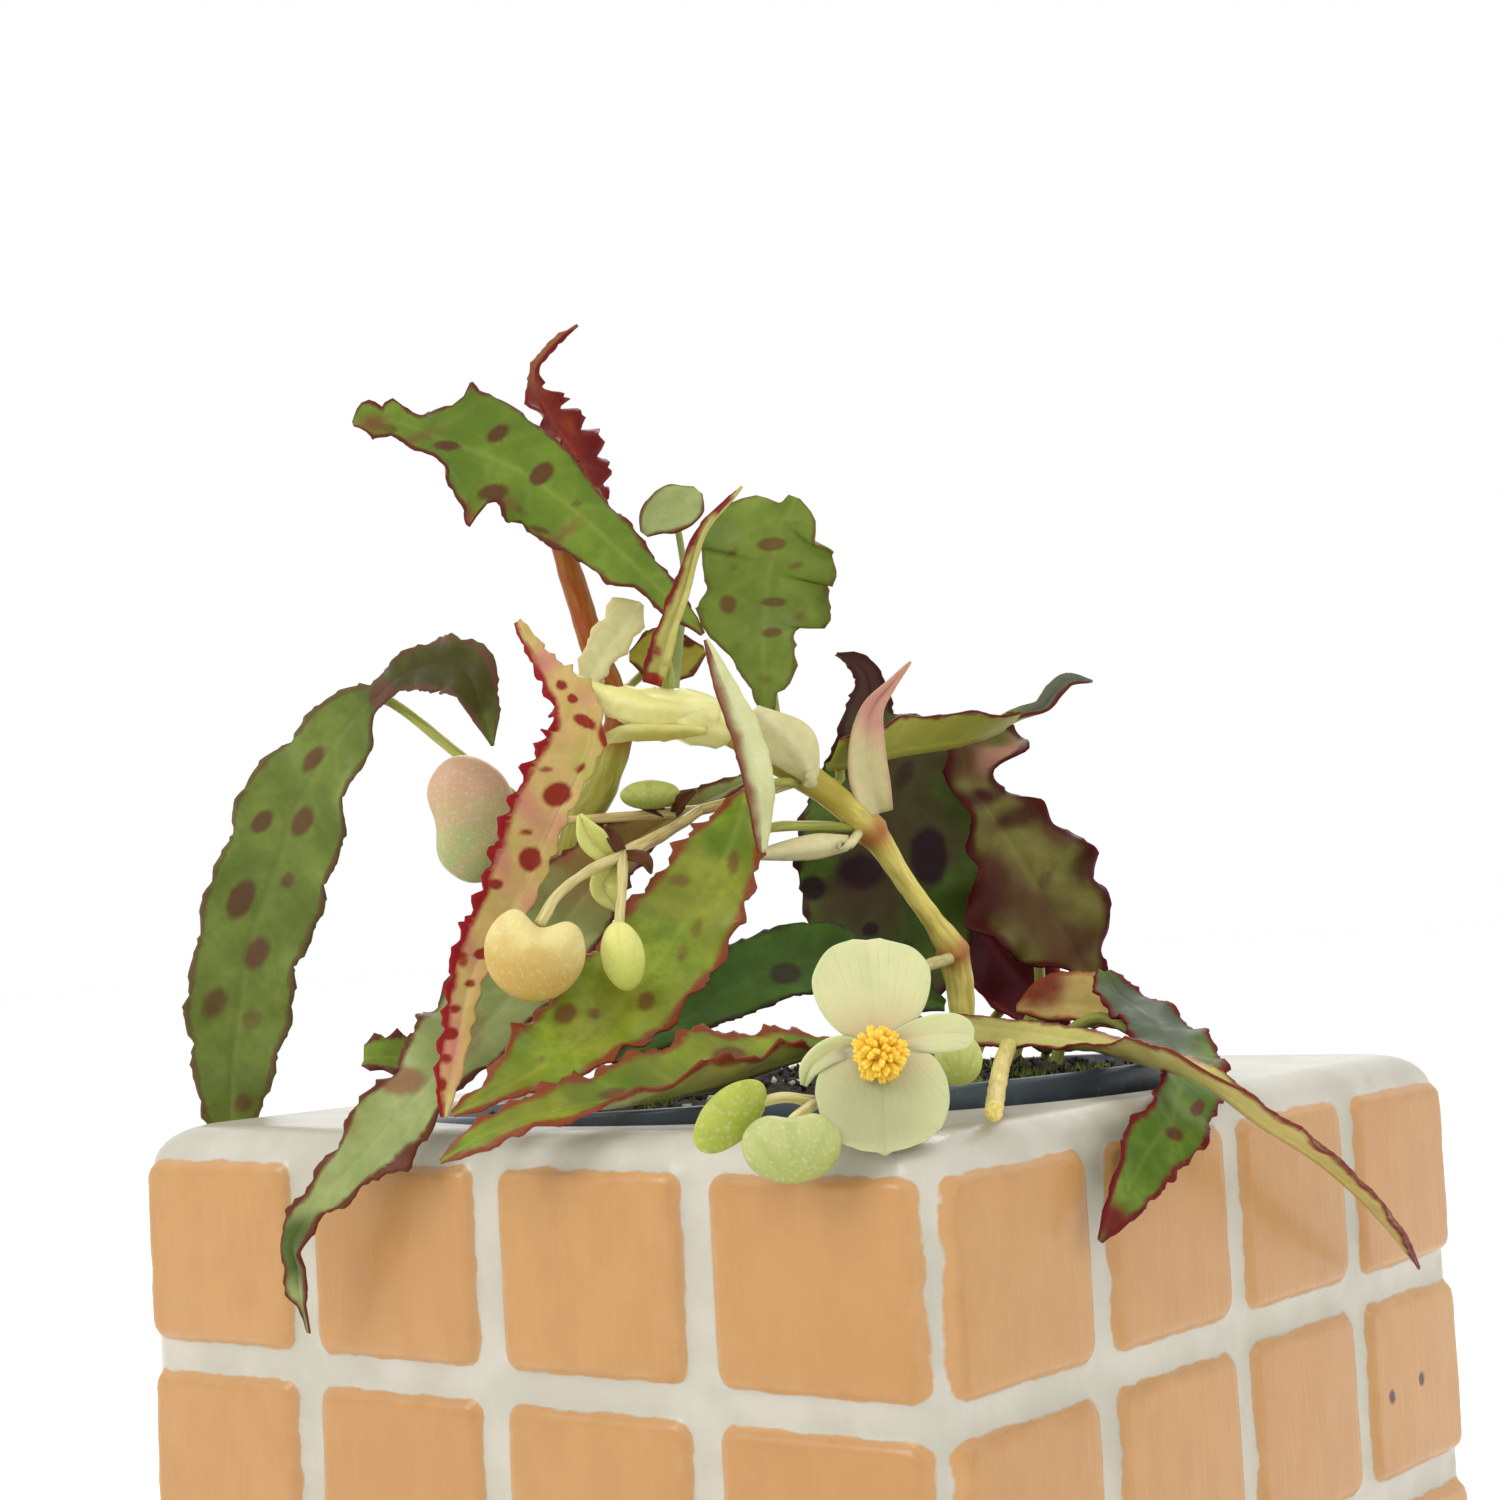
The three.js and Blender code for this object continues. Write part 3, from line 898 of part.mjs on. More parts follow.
// Ball of short clubs, each pointing away from the middle of the bloom
function stamenSolid() {
  const centre = vector(offset([0, -1.6, 0]));
  const heart = new THREE.SphereGeometry(1, 10, 6);
  heart.translate(...centre.toArray());
  let cluster = solidOf(heart);
  for (const [count, spread, start] of STAMEN_RINGS) {
    for (let k = 0; k < count; k += 1) {
      const around = (2 * Math.PI * (k + start)) / count;
      const out = degrees(spread);
      const way = new THREE.Vector3(
        Math.sin(out) * Math.cos(around), -Math.cos(out), Math.sin(out) * Math.sin(around),
      );
      const foot = centre.clone().addScaledVector(way, 0.4).toArray();
      const head = centre.clone().addScaledVector(way, STAMEN_LENGTH).toArray();
      cluster = cluster.add(stem([foot, head], [0.3, STAMEN_RADIUS], { sides: 4, step: 2 }));
    }
  }
  return cluster;
}

// Flower stalks: each a list of points and radii; the sprays are fused from them
const SPRAY_UPPER = [
  {
    points: [[1, -12, 114.2], [-4.5, -14.6, 112.6], [-9, -14.6, 111.6], [-13.5, -15.2, 111.4]],
    radii: [0.6, 0.5, 0.6],
  },
  {
    points: [[-13.2, -15.2, 111.4], [-21, -14.4, 111.3], [-26.6, -12.6, 111.6], [-29.5, -12, 111.8]],
    radii: [0.5, 0.4, 0.5],
  },
  { points: [[-9, -14.6, 111.6], [-11.6, -18.6, 109.8], [-16, -25, 107.4]], radii: [0.5, 0.6, 0.7] },
  {
    points: [[-16, -24.8, 107.4], [-19.6, -29.4, 107], [-22.4, -34, 104], [-23, -35, 101.6]],
    radii: [0.65, 0.5, 0.55],
  },
  {
    points: [[-16, -25, 107.4], [-16, -29.4, 104], [-16.3, -31.4, 100.8], [-16.2, -31.8, 99.4]],
    radii: [0.6, 0.45, 0.5],
  },
];
const SPRAY_UPPER_BRACTS = [
  [[-12.4, -15.2, 111.4], [-14.6, -16, 112.6], [-15.6, -16.4, 114]],
  [[-11.4, -15.4, 111.4], [-10.4, -17, 112.6], [-9.2, -17.6, 113.4]],
  [[-16, -25, 107.4], [-16.8, -25.6, 109], [-17.4, -26, 110.2]],
  [[-16, -25, 107.4], [-14, -26.4, 106.8], [-13.4, -26.8, 105.6]],
];
const SPRAY_LOWER = [
  {
    points: [[15, -1, 96.2], [10.8, -14, 95.6], [7, -34, 94], [4.6, -50, 91], [4.5, -54.6, 89.6]],
    radii: [0.6, 0.5, 0.6],
  },
  { points: [[6, -40, 93], [8, -44, 91], [11, -46, 89.6]], radii: [0.45, 0.4] },
  {
    points: [[5.4, -46, 92], [3, -52, 88.6], [-0.2, -57, 86.6], [-2, -61, 85.6], [-3, -62.4, 84.6]],
    radii: [0.5, 0.45, 0.5],
  },
  { points: [[-0.2, -57, 86.6], [-3, -58.6, 87.2], [-6, -59.4, 86.4]], radii: [0.45, 0.4] },
];
const STUB = {
  points: [[18.8, -14.5, 87.8], [16.3, -34, 86.9], [13.5, -57, 84.9]],
  radii: [0.6, 0.6, 0.62],
};

const joinStems = (list) => list
  .map(({ points, radii }) => stem(points, radii, { sides: 5, step: 5 }))
  .reduce((whole, part) => whole.add(part));

const pot = new THREE.Group();
addMesh(pot, 'pot_ceramic', ceramicPot(), '#d8a06c', 0.2);

const plant = new THREE.Group();
plant.rotation.z = degrees(PLANT_TURN);
pot.add(plant);

const carriers = {
  main: grownCane(CANE_MAIN),
  second: grownCane(CANE_SECOND),
  shoot: stem(SHOOT.points, SHOOT.radii, { sides: 10, step: 2, grow: GAP }),
};

const shoot = stem(SHOOT.points, SHOOT.radii, { sides: 10, step: 2 });
const mainCane = stem(CANE_MAIN.points, CANE_MAIN.radii, { sides: 9 }).subtract(carriers.shoot);
addMesh(plant, 'cane_main', mainCane, STEM_OLIVE);
addMesh(plant, 'cane_second', stem(CANE_SECOND.points, CANE_SECOND.radii, { sides: 9 }), '#96692f');
addMesh(plant, 'young_shoot', shoot, '#cfc77a');

const roots = [carriers.main, carriers.second];
for (const [name, spec] of Object.entries(LEAVES)) {
  addMesh(plant, name, leafSolid(spec, carriers), spec.colour, 0.4);
  if (spec.root) {
    const [over, foot] = spec.stalk.to.slice(-2);
    const way = vector(over).sub(vector(foot)).normalize();
    const top = vector(over).addScaledVector(way, 4).toArray();
    const end = vector(foot).addScaledVector(way, -1).toArray();
    roots.push(stem([end, top], [1.1, 1.1], { sides: 8, step: 30 }));
  }
}

addMesh(plant, 'nursery_pot', nurseryPot(), '#3a4450', 0.45);
addMesh(plant, 'potting_soil', soilBall(roots), '#1d1712', 0.95);

const grownBuds = Object.values(BUDS).map((bud) => budSolid(bud, GAP));
const clearOfBuds = (solid) => grownBuds.reduce((rest, bud) => rest.subtract(bud), solid);
for (const [name, bud] of Object.entries(BUDS)) {
  addMesh(plant, name, budSolid(bud), bud.colour, 0.45);
}

const bracts = SPRAY_UPPER_BRACTS.map((points) => ({ points, radii: [0.5, 0.6, 0.2] }));
const halves = BUD_HALVES.map((half) => blade(half)).reduce((a, b) => a.add(b));
const upper = clearOfBuds(joinStems([...SPRAY_UPPER, ...bracts]).add(halves))
  .subtract(carriers.main).subtract(carriers.shoot);
addMesh(plant, 'spray_upper', upper, '#b98c5a');

const flowerBase = new THREE.SphereGeometry(1.5 + GAP, 10, 6);
flowerBase.scale(1, 0.7, 1).translate(...offset([0, 0.4, 0]));
const lower = clearOfBuds(joinStems(SPRAY_LOWER)).subtract(carriers.main).subtract(solidOf(flowerBase));
addMesh(plant, 'spray_lower', lower, '#a9a860');
addMesh(plant, 'flower_tepals', tepalSolid(), '#dfe0c0', 0.5);
addMesh(plant, 'flower_stamens', stamenSolid(), '#e8b93a', 0.5);
addMesh(plant, 'petiole_stub', stem(STUB.points, STUB.radii, { sides: 7, step: 5 }), '#c9bd74');

export default pot;
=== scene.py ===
"""The look of a small begonia with spotted leaves in a square pot with a relief of glazed tiles.

The plant is laid out in millimetres as seen over the pot's near corner: x to the right, y away, z up. to_row()
turns that into the part's own frame, in metres. The finer pieces follow the same curves as the solids.
"""
import math

import bpy
import numpy as np
from mathutils import Matrix, Vector, noise


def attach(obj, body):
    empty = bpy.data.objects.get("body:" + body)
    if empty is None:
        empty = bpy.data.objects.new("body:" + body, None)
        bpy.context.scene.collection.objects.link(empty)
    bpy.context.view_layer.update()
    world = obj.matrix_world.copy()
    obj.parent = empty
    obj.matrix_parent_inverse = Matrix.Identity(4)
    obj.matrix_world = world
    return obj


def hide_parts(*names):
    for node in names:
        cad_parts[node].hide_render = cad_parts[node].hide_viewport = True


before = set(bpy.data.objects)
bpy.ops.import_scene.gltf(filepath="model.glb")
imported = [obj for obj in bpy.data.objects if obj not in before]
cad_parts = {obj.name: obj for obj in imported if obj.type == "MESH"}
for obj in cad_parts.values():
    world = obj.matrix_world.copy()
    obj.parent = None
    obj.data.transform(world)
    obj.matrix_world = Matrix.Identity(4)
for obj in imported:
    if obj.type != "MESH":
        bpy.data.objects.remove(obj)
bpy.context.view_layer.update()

MM = 0.001
PLANT_TURN = math.radians(38)
FINE = 0.42  # spacing of a blade's points, mm
GOLDEN = 0.381966  # spreads the tones of the tiles evenly

# Ceramic pot, mm
POT_SIDE = 94
POT_HEIGHT = 84
TILE_PITCH = (23.17, 19.8)
TILE_HALF = (10, 8.4)
TILE_RISE = 0.9
TILE_ROUND = 1.7
TILE_EDGE = (0.32, 1.05)  # how far a tile's edge stands out, and over what run it rises
TILE_WOBBLE = 0.22
TILE_PILLOW = 0.1
JOINT_DEPTH = 0.18
TILE_TOP = 81
TILES = 4
POT_CORNER = 3
POT_EDGE = 3.6
POT_INSIDE = 41.1
POT_FLOOR = 6
WEB = 6  # height of the wall of the opening
PITS = ((47.0, 28.3, 52.1), (47.0, 35.0, 52.7))  # in the glaze of one tile
OPENING = 38.6
FLARE = 1.6
FOOT_INSET = 1.0
OFF_TILES = (6.0, 6.0, 0.0)  # place of a point that lies on no tile

# Nursery pot and soil, mm
NURSERY_RADIUS = 37
NURSERY_FOOT = 27
NURSERY_TOP = 84.5
NURSERY_LEDGE = 3
NURSERY_LEAN = 0.03
SOIL_EDGE = 82.6
SOIL_MOUND = 3
SOIL_BUMP = 0.45
CRUMBS = 1500
GRIT_EVERY = 17  # one crumb in so many is white
MOSS = ((21, -16, 3.2), (27, -12, 2.6), (15, -24, 2.0), (-14, -20, 2.4))  # x, y and spread of each tuft
MOSS_BLADES = 70

# Leaves and flower, mm
VEIN_SPACING = 5.2
VEIN_WIDTH = 0.09  # as a share of the spacing
RIB_WIDTH = 0.34
MARGIN_REACH = 1.6  # what a look's margin_width is a share of
STALK = (0.5, 0.6)  # radii where a leaf names none
ANTHERS = 46

# Camera of the photograph and the lamps, m
PHOTO = 1500  # pixels a side
SENSOR = 36  # mm
CAMERA_AT = (0.15782, -0.20756, 0.10086)
CAMERA_YAW = -38.136
CAMERA_PITCH = 3.76
CAMERA_ROLL = -2.979
CAMERA_LENS = 62.49
LAMP_AIM = (0, 0, 0.09)


def to_row(points):
    """Row-frame metres of plant-frame millimetres."""
    p = np.asarray(points, float)
    c, s = math.cos(PLANT_TURN), math.sin(PLANT_TURN)
    return np.stack([c * p[:, 0] - s * p[:, 1], s * p[:, 0] + c * p[:, 1], p[:, 2]], 1) * MM


def camera_axes():
    """Unit vectors of the photograph's camera in the row frame: ahead, to its right and upwards."""
    yaw, pitch, roll = (math.radians(v) for v in (CAMERA_YAW, CAMERA_PITCH, CAMERA_ROLL))
    ahead = np.array([math.sin(yaw) * math.cos(pitch), math.cos(yaw) * math.cos(pitch), math.sin(pitch)])
    level = np.array([math.cos(yaw), -math.sin(yaw), 0])
    above = np.cross(level, ahead)
    return ahead, level * math.cos(roll) + above * math.sin(roll), above * math.cos(roll) - level * math.sin(roll)


def pixel(points):
    """Place in the photograph, in pixels, of plant-frame millimetres."""
    ahead, across, upward = camera_axes()
    way = to_row(points) - np.array(CAMERA_AT)
    scale = CAMERA_LENS / SENSOR * PHOTO / (way @ ahead)
    return PHOTO / 2 + way @ across * scale, PHOTO / 2 - way @ upward * scale


def ovals(points, listed, soft):
    """How far points lie in listed soft ovals: (x, y, long, short, angle, strength) in the photograph's pixels."""
    x, y = pixel(points)
    field = np.zeros(len(points))
    for px, py, long, short, angle, strength in listed:
        c, k = math.cos(math.radians(angle)), math.sin(math.radians(angle))
        dx, dy = x - px, py - y
        far = np.hypot((dx * c + dy * k) / long, (dy * c - dx * k) / short)
        field = np.maximum(field, strength * np.clip((1 + soft - far) / (2 * soft), 0, 1))
    return field


def unit(v):
    """Vectors of length 1 along the given ones."""
    return v / np.maximum(np.linalg.norm(v, axis=-1, keepdims=True), 1e-9)


def lumps(points, size, seed=0):
    """Smooth noise, about -1 to 1, at points in mm, with bumps of the given size."""
    shift = Vector((seed * 7.3, seed * 3.1, seed * 5.7))
    return np.array([noise.noise(Vector(p) / size + shift) for p in np.asarray(points, float)])


def mix(values, s):
    """Value at s, from 0 to 1, of evenly spaced numbers or vectors."""
    values = np.atleast_1d(np.asarray(values, float))
    grid = np.linspace(0, 1, len(values)) if len(values) > 1 else np.array([0.0])
    if values.ndim == 1:
        return np.interp(s, grid, values)
    return np.stack([np.interp(s, grid, values[:, k]) for k in range(values.shape[1])], -1)


def smooth(values, share=0.09):
    """Evens out the corners of a series along its first axis."""
    half = max(1, int(len(values) * share))
    window = np.hanning(2 * half + 1)
    window /= window.sum()
    padded = np.concatenate([np.repeat(values[:1], half, 0), values, np.repeat(values[-1:], half, 0)])
    return np.stack([np.convolve(padded[:, k], window, "valid") for k in range(values.shape[1])], 1)


class Curve:
    """Centripetal Catmull-Rom curve through points, run evenly by its length."""

    def __init__(self, points, even=False):
        p = np.asarray(points, float)
        self.points = np.concatenate([[2 * p[0] - p[1]], p, [2 * p[-1] - p[-2]]])
        self.spans = len(p) - 1
        self.even = even
        self.grid = np.linspace(0, 1, 401)
        path = self.raw(self.grid)
        self.run = np.concatenate([[0], np.cumsum(np.linalg.norm(np.diff(path, axis=0), axis=1))])
        self.length = self.run[-1]

    def raw(self, t):
        """Points at t, which runs evenly from one given point to the next."""
        place = np.clip(t, 0, 1) * self.spans
        i = np.minimum(place.astype(int), self.spans - 1)
        w = (place - i)[:, None]
        p0, p1, p2, p3 = (self.points[i + k] for k in range(4))
        if self.even:
            m1, m2 = 0.5 * (p2 - p0), 0.5 * (p3 - p1)
        else:
            pairs = ((p0, p1), (p1, p2), (p2, p3))
            d0, d1, d2 = (np.sqrt(np.linalg.norm(b - a, axis=1))[:, None] for a, b in pairs)
            m1 = ((p1 - p0) / d0 - (p2 - p0) / (d0 + d1) + (p2 - p1) / d1) * d1
            m2 = ((p2 - p1) / d1 - (p3 - p1) / (d1 + d2) + (p3 - p2) / d2) * d1
        return ((2 * w**3 - 3 * w**2 + 1) * p1 + (w**3 - 2 * w**2 + w) * m1
                + (3 * w**2 - 2 * w**3) * p2 + (w**3 - w**2) * m2)

    def at(self, s):
        """Points, directions and t at shares s of the length."""
        t = np.interp(np.asarray(s) * self.length, self.run, self.grid)
        step = 1e-3
        along = unit(self.raw(np.minimum(t + step, 1)) - self.raw(np.maximum(t - step, 0)))
        return self.raw(t), along, t


class Piece:
    """Closed shells gathered into one object, with where each point lies and what marks it carries."""

    def __init__(self, node, slot, name=None):
        self.name, self.node, self.slot = name or node.capitalize(), node, slot
        self.points, self.faces, self.place, self.marks, self.tint, self.look = [], [], [], [], [], []
        self.count = 0

    def add(self, points, faces, place, marks, look=0, tint=0.0):
        """place is (along, across, side) in mm; marks is (spot, edge, vein) from 0 to 1; tint is from -1 to 1."""
        n = len(points)
        self.points.append(np.asarray(points, float))
        self.faces += [tuple(int(k) + self.count for k in f) for f in faces]
        self.look += [look] * len(faces)
        self.place.append(np.broadcast_to(np.asarray(place, float), (n, 3)))
        self.marks.append(np.broadcast_to(np.asarray(marks, float), (n, 3)))
        self.tint.append(np.broadcast_to(np.asarray(tint, float), n))
        self.count += n

    def build(self, *materials, plant=True):
        """Makes the object; its points are in the plant frame unless plant is False."""
        points = np.concatenate(self.points)
        mesh = bpy.data.meshes.new(self.name)
        mesh.from_pydata((to_row(points) if plant else points * MM).tolist(), [], self.faces)
        for name, values in (("place", self.place), ("marks", self.marks)):
            layer = mesh.attributes.new(name, "FLOAT_VECTOR", "POINT")
            layer.data.foreach_set("vector", np.concatenate(values).ravel())
        layer = mesh.attributes.new("tint", "FLOAT", "POINT")
        layer.data.foreach_set("value", np.concatenate(self.tint))
        for material in materials:
            mesh.materials.append(material)
        mesh.polygons.foreach_set("material_index", self.look)
        mesh.polygons.foreach_set("use_smooth", [True] * len(mesh.polygons))
        mesh.update()
        obj = bpy.data.objects.new(self.name, mesh)
        bpy.context.scene.collection.objects.link(obj)
        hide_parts(self.node)
        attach(obj, "root")
        return obj


def grid_faces(rows, columns, closed=False):
    """Quads of a grid of points; closed joins the last column to the first."""
    faces = []
    for i in range(rows - 1):
        for j in range(columns if closed else columns - 1):
            k = (j + 1) % columns
            a, b = i * columns + j, i * columns + k
            faces.append((a, b, b + columns, a + columns))
    return faces


def tube_faces(rings, sides):
    """Faces of a stack of rings, closed at both ends by the two points that follow them."""
    n, last = rings * sides, (rings - 1) * sides
    faces = grid_faces(rings, sides, closed=True)
    faces += [(n, (j + 1) % sides, j) for j in range(sides)]
    faces += [(n + 1, last + j, last + (j + 1) % sides) for j in range(sides)]
    return faces


def blade(piece, rib, face, fold=(0,), wave=(0, 9, 0), teeth=(0, 4.4), thick=0.5, frill=0.3, seed=1, fine=FINE,
          lobes=(), dots=(), tints=(), seconds=(), margin=(1, 1), scallop=False, look=0):
    """Thin waved leaf or petal, in mm, on a rib of (x, y, z, half-width) or (x, y, z, half-width left, and right).

    face holds the directions of its upper side, fold the angles between its halves, wave (height, length, phase),
    teeth (height, spacing) and lobes (share of the rib, side, depth, run). dots, tints and seconds are the ovals of
    its spots and of its two patch colours, and margin is the strength of the dark edge on each side.
    """
    rib = np.array([(*p[:4], p[-1]) for p in rib], float)
    path, widths = Curve(rib[:, :3]), Curve(np.c_[rib[:, 3:5], np.zeros(len(rib))], even=True)
    length = path.length
    rows = max(24, int(length / fine)) + 1
    cells = int(np.clip(rib[:, 3:5].max() / fine, 5, 15))
    s = np.linspace(0, 1, rows)
    centre, along, t = path.at(s)
    half = np.maximum(widths.raw(t)[:, :2], 0.15)
    up = smooth(mix(face, s)) if len(face) > 1 else mix(face, s) + np.zeros((rows, 3))
    up = unit(up - (up * along).sum(1, keepdims=True) * along)
    right = np.cross(along, up)
    angle = np.radians(mix(fold, s))
    rng = np.random.default_rng(seed)
    stations = 2 * max(3, round(length / teeth[1]))
    columns = np.arange(-cells, cells + 1)
    width = len(columns)
    n = rows * width

    def flat(values):
        return np.broadcast_to(values, (rows, width)).reshape(-1)

    v = np.abs(columns) / cells
    v = np.where(v > 0, v**0.86, 0)
    side = np.sign(columns)
    full = np.where(side < 0, half[:, :1], half[:, 1:2])
    beat = 1 - np.abs((s * stations) % 2 - 1)
    beat = np.sin(beat * math.pi / 2) ** 0.7 if scallop else beat ** 1.3
    tooth = teeth[0] * beat[:, None] * np.minimum(1, full / 2)
    margins = []
    for k in range(2):
        saw = np.zeros(rows)
        place = rng.uniform(0, 1)
        while place < length:
            reach = rng.uniform(0.9, 2.4)
            rise = rng.uniform(0.3, 1) * frill
            x = (s * length - place) / reach
            saw = np.maximum(saw, np.where((x > 0) & (x < 1), rise * x**1.6, 0))
            place += reach * rng.uniform(0.7, 1.25)
        margins.append(saw)
    saw = np.where(side < 0, margins[0][:, None], margins[1][:, None]) * np.minimum(1, full / 2)
    reach = full * v + (tooth + saw) * v**3 * (full > 0.25)
    for where, side_of, depth, run in lobes:
        pull = np.exp(-(((s - where) * length / run) ** 2))[:, None]
        reach = reach + depth * pull * (side == side_of) * v**2
    ripple = np.sin(2 * math.pi * s[:, None] * length / wave[1] + wave[2] + 1.3 * side)
    ripple = wave[0] * ripple * v**2 * np.minimum(1, full / 3)
    run = s[:, None] * length
    flutter = lumps(np.c_[flat(run), flat(side * 9.0 + full), np.zeros(n)], 2.6, seed).reshape(rows, width)
    ripple = ripple + 0.5 * min(1, frill * 3) * flutter * v**3 * np.minimum(1, full / 3)
    phase = (run - 0.75 * reach) / VEIN_SPACING
    vein = np.exp(-(((phase % 1) - 0.5) / VEIN_WIDTH) ** 2) * np.clip(v * 4, 0, 1) * (1 - v**4)
    quilt = 0.10 * np.sin(math.pi * (phase % 1)) ** 2 * np.sin(math.pi * v) * np.minimum(1, full / 3)
    rib_line = np.exp(-((reach / RIB_WIDTH) ** 2)) + np.zeros_like(phase)
    lift = reach * np.sin(angle)[:, None] * (0.85 + 0.15 * v) + ripple - quilt - 0.1 * rib_line
    middle = (centre[:, None] + right[:, None] * (side * reach * np.cos(angle)[:, None])[..., None]
              + up[:, None] * lift[..., None])
    normal = unit(np.cross(np.gradient(middle, axis=1), np.gradient(middle, axis=0)))
    taper = np.minimum(1, np.minimum(s, 1 - s) * 14)[:, None] * 0.6 + 0.4
    body = thick / 2 * (1 - 0.55 * v**4) * taper
    ridge = body + 0.22 * np.minimum(1, full / 2.5) * rib_line * (full > 0.5) + 0.05 * vein
    upper = (middle + normal * body[..., None]).reshape(-1, 3)
    lower = (middle - normal * ridge[..., None]).reshape(-1, 3)
    midst = middle.reshape(-1, 3)
    spot = ovals(midst, dots, 0.4)
    tint = ovals(midst, tints, 0.6) - ovals(midst, seconds, 0.6)
    place = np.c_[flat(run), flat(side * reach), np.ones(n)]
    rim_side = np.where(side < 0, margin[0], margin[1])
    marks = np.c_[spot, flat(np.clip(1 - (full - reach + 0.001) / MARGIN_REACH, 0, 1) * (full > 0.2) * rim_side),
                  flat(np.clip(vein * 0.6 + rib_line, 0, 1))]
    faces = grid_faces(rows, width)
    under = [tuple(k + n for k in reversed(f)) for f in faces]
    rim = []
    for i in range(rows - 1):
        a, b = i * width, (i + 1) * width
        rim.append((n + a, a, b, n + b))
        a, b = a + width - 1, b + width - 1
        rim.append((n + a, n + b, b, a))
    end = (rows - 1) * width
    for j in range(width - 1):
        rim.append((n + j, n + j + 1, j + 1, j))
        rim.append((n + end + j, end + j, end + j + 1, n + end + j + 1))
    place = np.concatenate([place, place * [1, 1, 0]])
    piece.add(np.concatenate([upper, lower]), faces + under + rim, place, np.tile(marks, (2, 1)), look,
              np.tile(tint, 2))


def stem(piece, points, radii, sides=14, step=0.8, rough=0.05, seed=1, look=0, blunt=True, rings=()):
    """Round stem through points, mm; rings are shares of its length where it has a raised scar."""
    path = Curve(points)
    rows = max(4, int(path.length / step)) + 1
    s = np.linspace(0, 1, rows)
    centre, along, _ = path.at(s)
    radius = mix(radii, s)
    for ring in rings:
        radius = radius * (1 + 0.14 * np.exp(-(((s - ring) * path.length / 0.5) ** 2)))
    first = unit(np.cross(along[0], [0.3, 0.2, 1.0] if abs(along[0][2]) < 0.9 else [1.0, 0, 0]))
    frames = [first]
    for i in range(1, rows):
        side = frames[-1] - along[i] * np.dot(frames[-1], along[i])
        frames.append(side / np.linalg.norm(side))
    side = np.array(frames)
    other = np.cross(along, side)
    turn = np.arange(sides) * 2 * math.pi / sides
    out = side[:, None] * np.cos(turn)[None, :, None] + other[:, None] * np.sin(turn)[None, :, None]
    shell = centre[:, None] + out * radius[:, None, None]
    bump = lumps(shell.reshape(-1, 3), 1.7, seed).reshape(rows, sides)
    shell += out * (rough * radius[:, None] * 2 * bump)[..., None]
    place = np.c_[np.repeat(s * path.length, sides), np.tile(np.cos(turn), rows), np.tile(np.sin(turn), rows)]
    marks = np.zeros((rows * sides, 3))
    for ring in rings:
        glow = np.exp(-(((np.repeat(s, sides) - ring) * path.length / 1.7) ** 2))
        marks[:, 0] = np.maximum(marks[:, 0], glow)
    tip = 0.45 if blunt else 1.2
    ends = [centre[0] - along[0] * radius[0] * tip, centre[-1] + along[-1] * radius[-1] * tip]
    place = np.concatenate([place, [[0, 0, 0], [path.length, 0, 0]]])
    marks = np.concatenate([marks, marks[:1], marks[-1:]])
    piece.add(np.concatenate([shell.reshape(-1, 3), ends]), tube_faces(rows, sides), place, marks, look)


def bud(piece, at, size, notch=0, tilt=0, seam=0.05, ribs=0.02, sideways=False, seed=1):
    """Flattened bud of two closed tepals, with a notch where its stalk comes in, mm."""
    rows, sides = 40, 56
    theta = np.linspace(0, math.pi, rows)
    phi = np.arange(sides) * 2 * math.pi / sides
    x = np.sin(theta)[:, None] * np.cos(phi)
    y = np.sin(theta)[:, None] * np.sin(phi)
    z = np.cos(theta)[:, None] + 0 * phi
    pinch = 1 - seam * np.exp(-((y / 0.13) ** 2)) * (1 - np.abs(z) ** 6)
    rib = 1 + ribs * np.cos(9 * np.arctan2(x, 0.9 + z)) * np.abs(y)
    dent = notch * np.exp(-((x / 0.42) ** 2)) * np.maximum(0, z)
    ball = np.c_[x.ravel(), y.ravel(), z.ravel()]
    grow = pinch * rib * (1 + 0.02 * lumps(ball, 0.5, seed).reshape(rows, sides))
    body = (np.stack([x * grow, y * grow, z * grow - dent], -1) * size / 2).reshape(-1, 3)
    c, s = math.cos(math.radians(tilt)), math.sin(math.radians(tilt))
    turned = np.stack([body[:, 0] * c + body[:, 2] * s, body[:, 1], body[:, 2] * c - body[:, 0] * s], 1)
    faces = grid_faces(rows, sides, closed=True)
    edge = np.exp(-((y / 0.16) ** 2)).ravel()
    top = np.clip(0.5 + 0.5 * (x if sideways else z), 0, 1).ravel()
    veins = (0.5 + 0.5 * np.cos(14 * np.arctan2(x, 1.1 + z))).ravel()
    piece.add(turned + np.asarray(at, float), faces, ball, np.c_[top, edge, veins])


def rgb(text):
    """Linear colour of a hex sRGB one."""
    values = [int(text[k:k + 2], 16) / 255 for k in (1, 3, 5)]
    return (*[v / 12.92 if v <= 0.04045 else ((v + 0.055) / 1.055) ** 2.4 for v in values], 1)


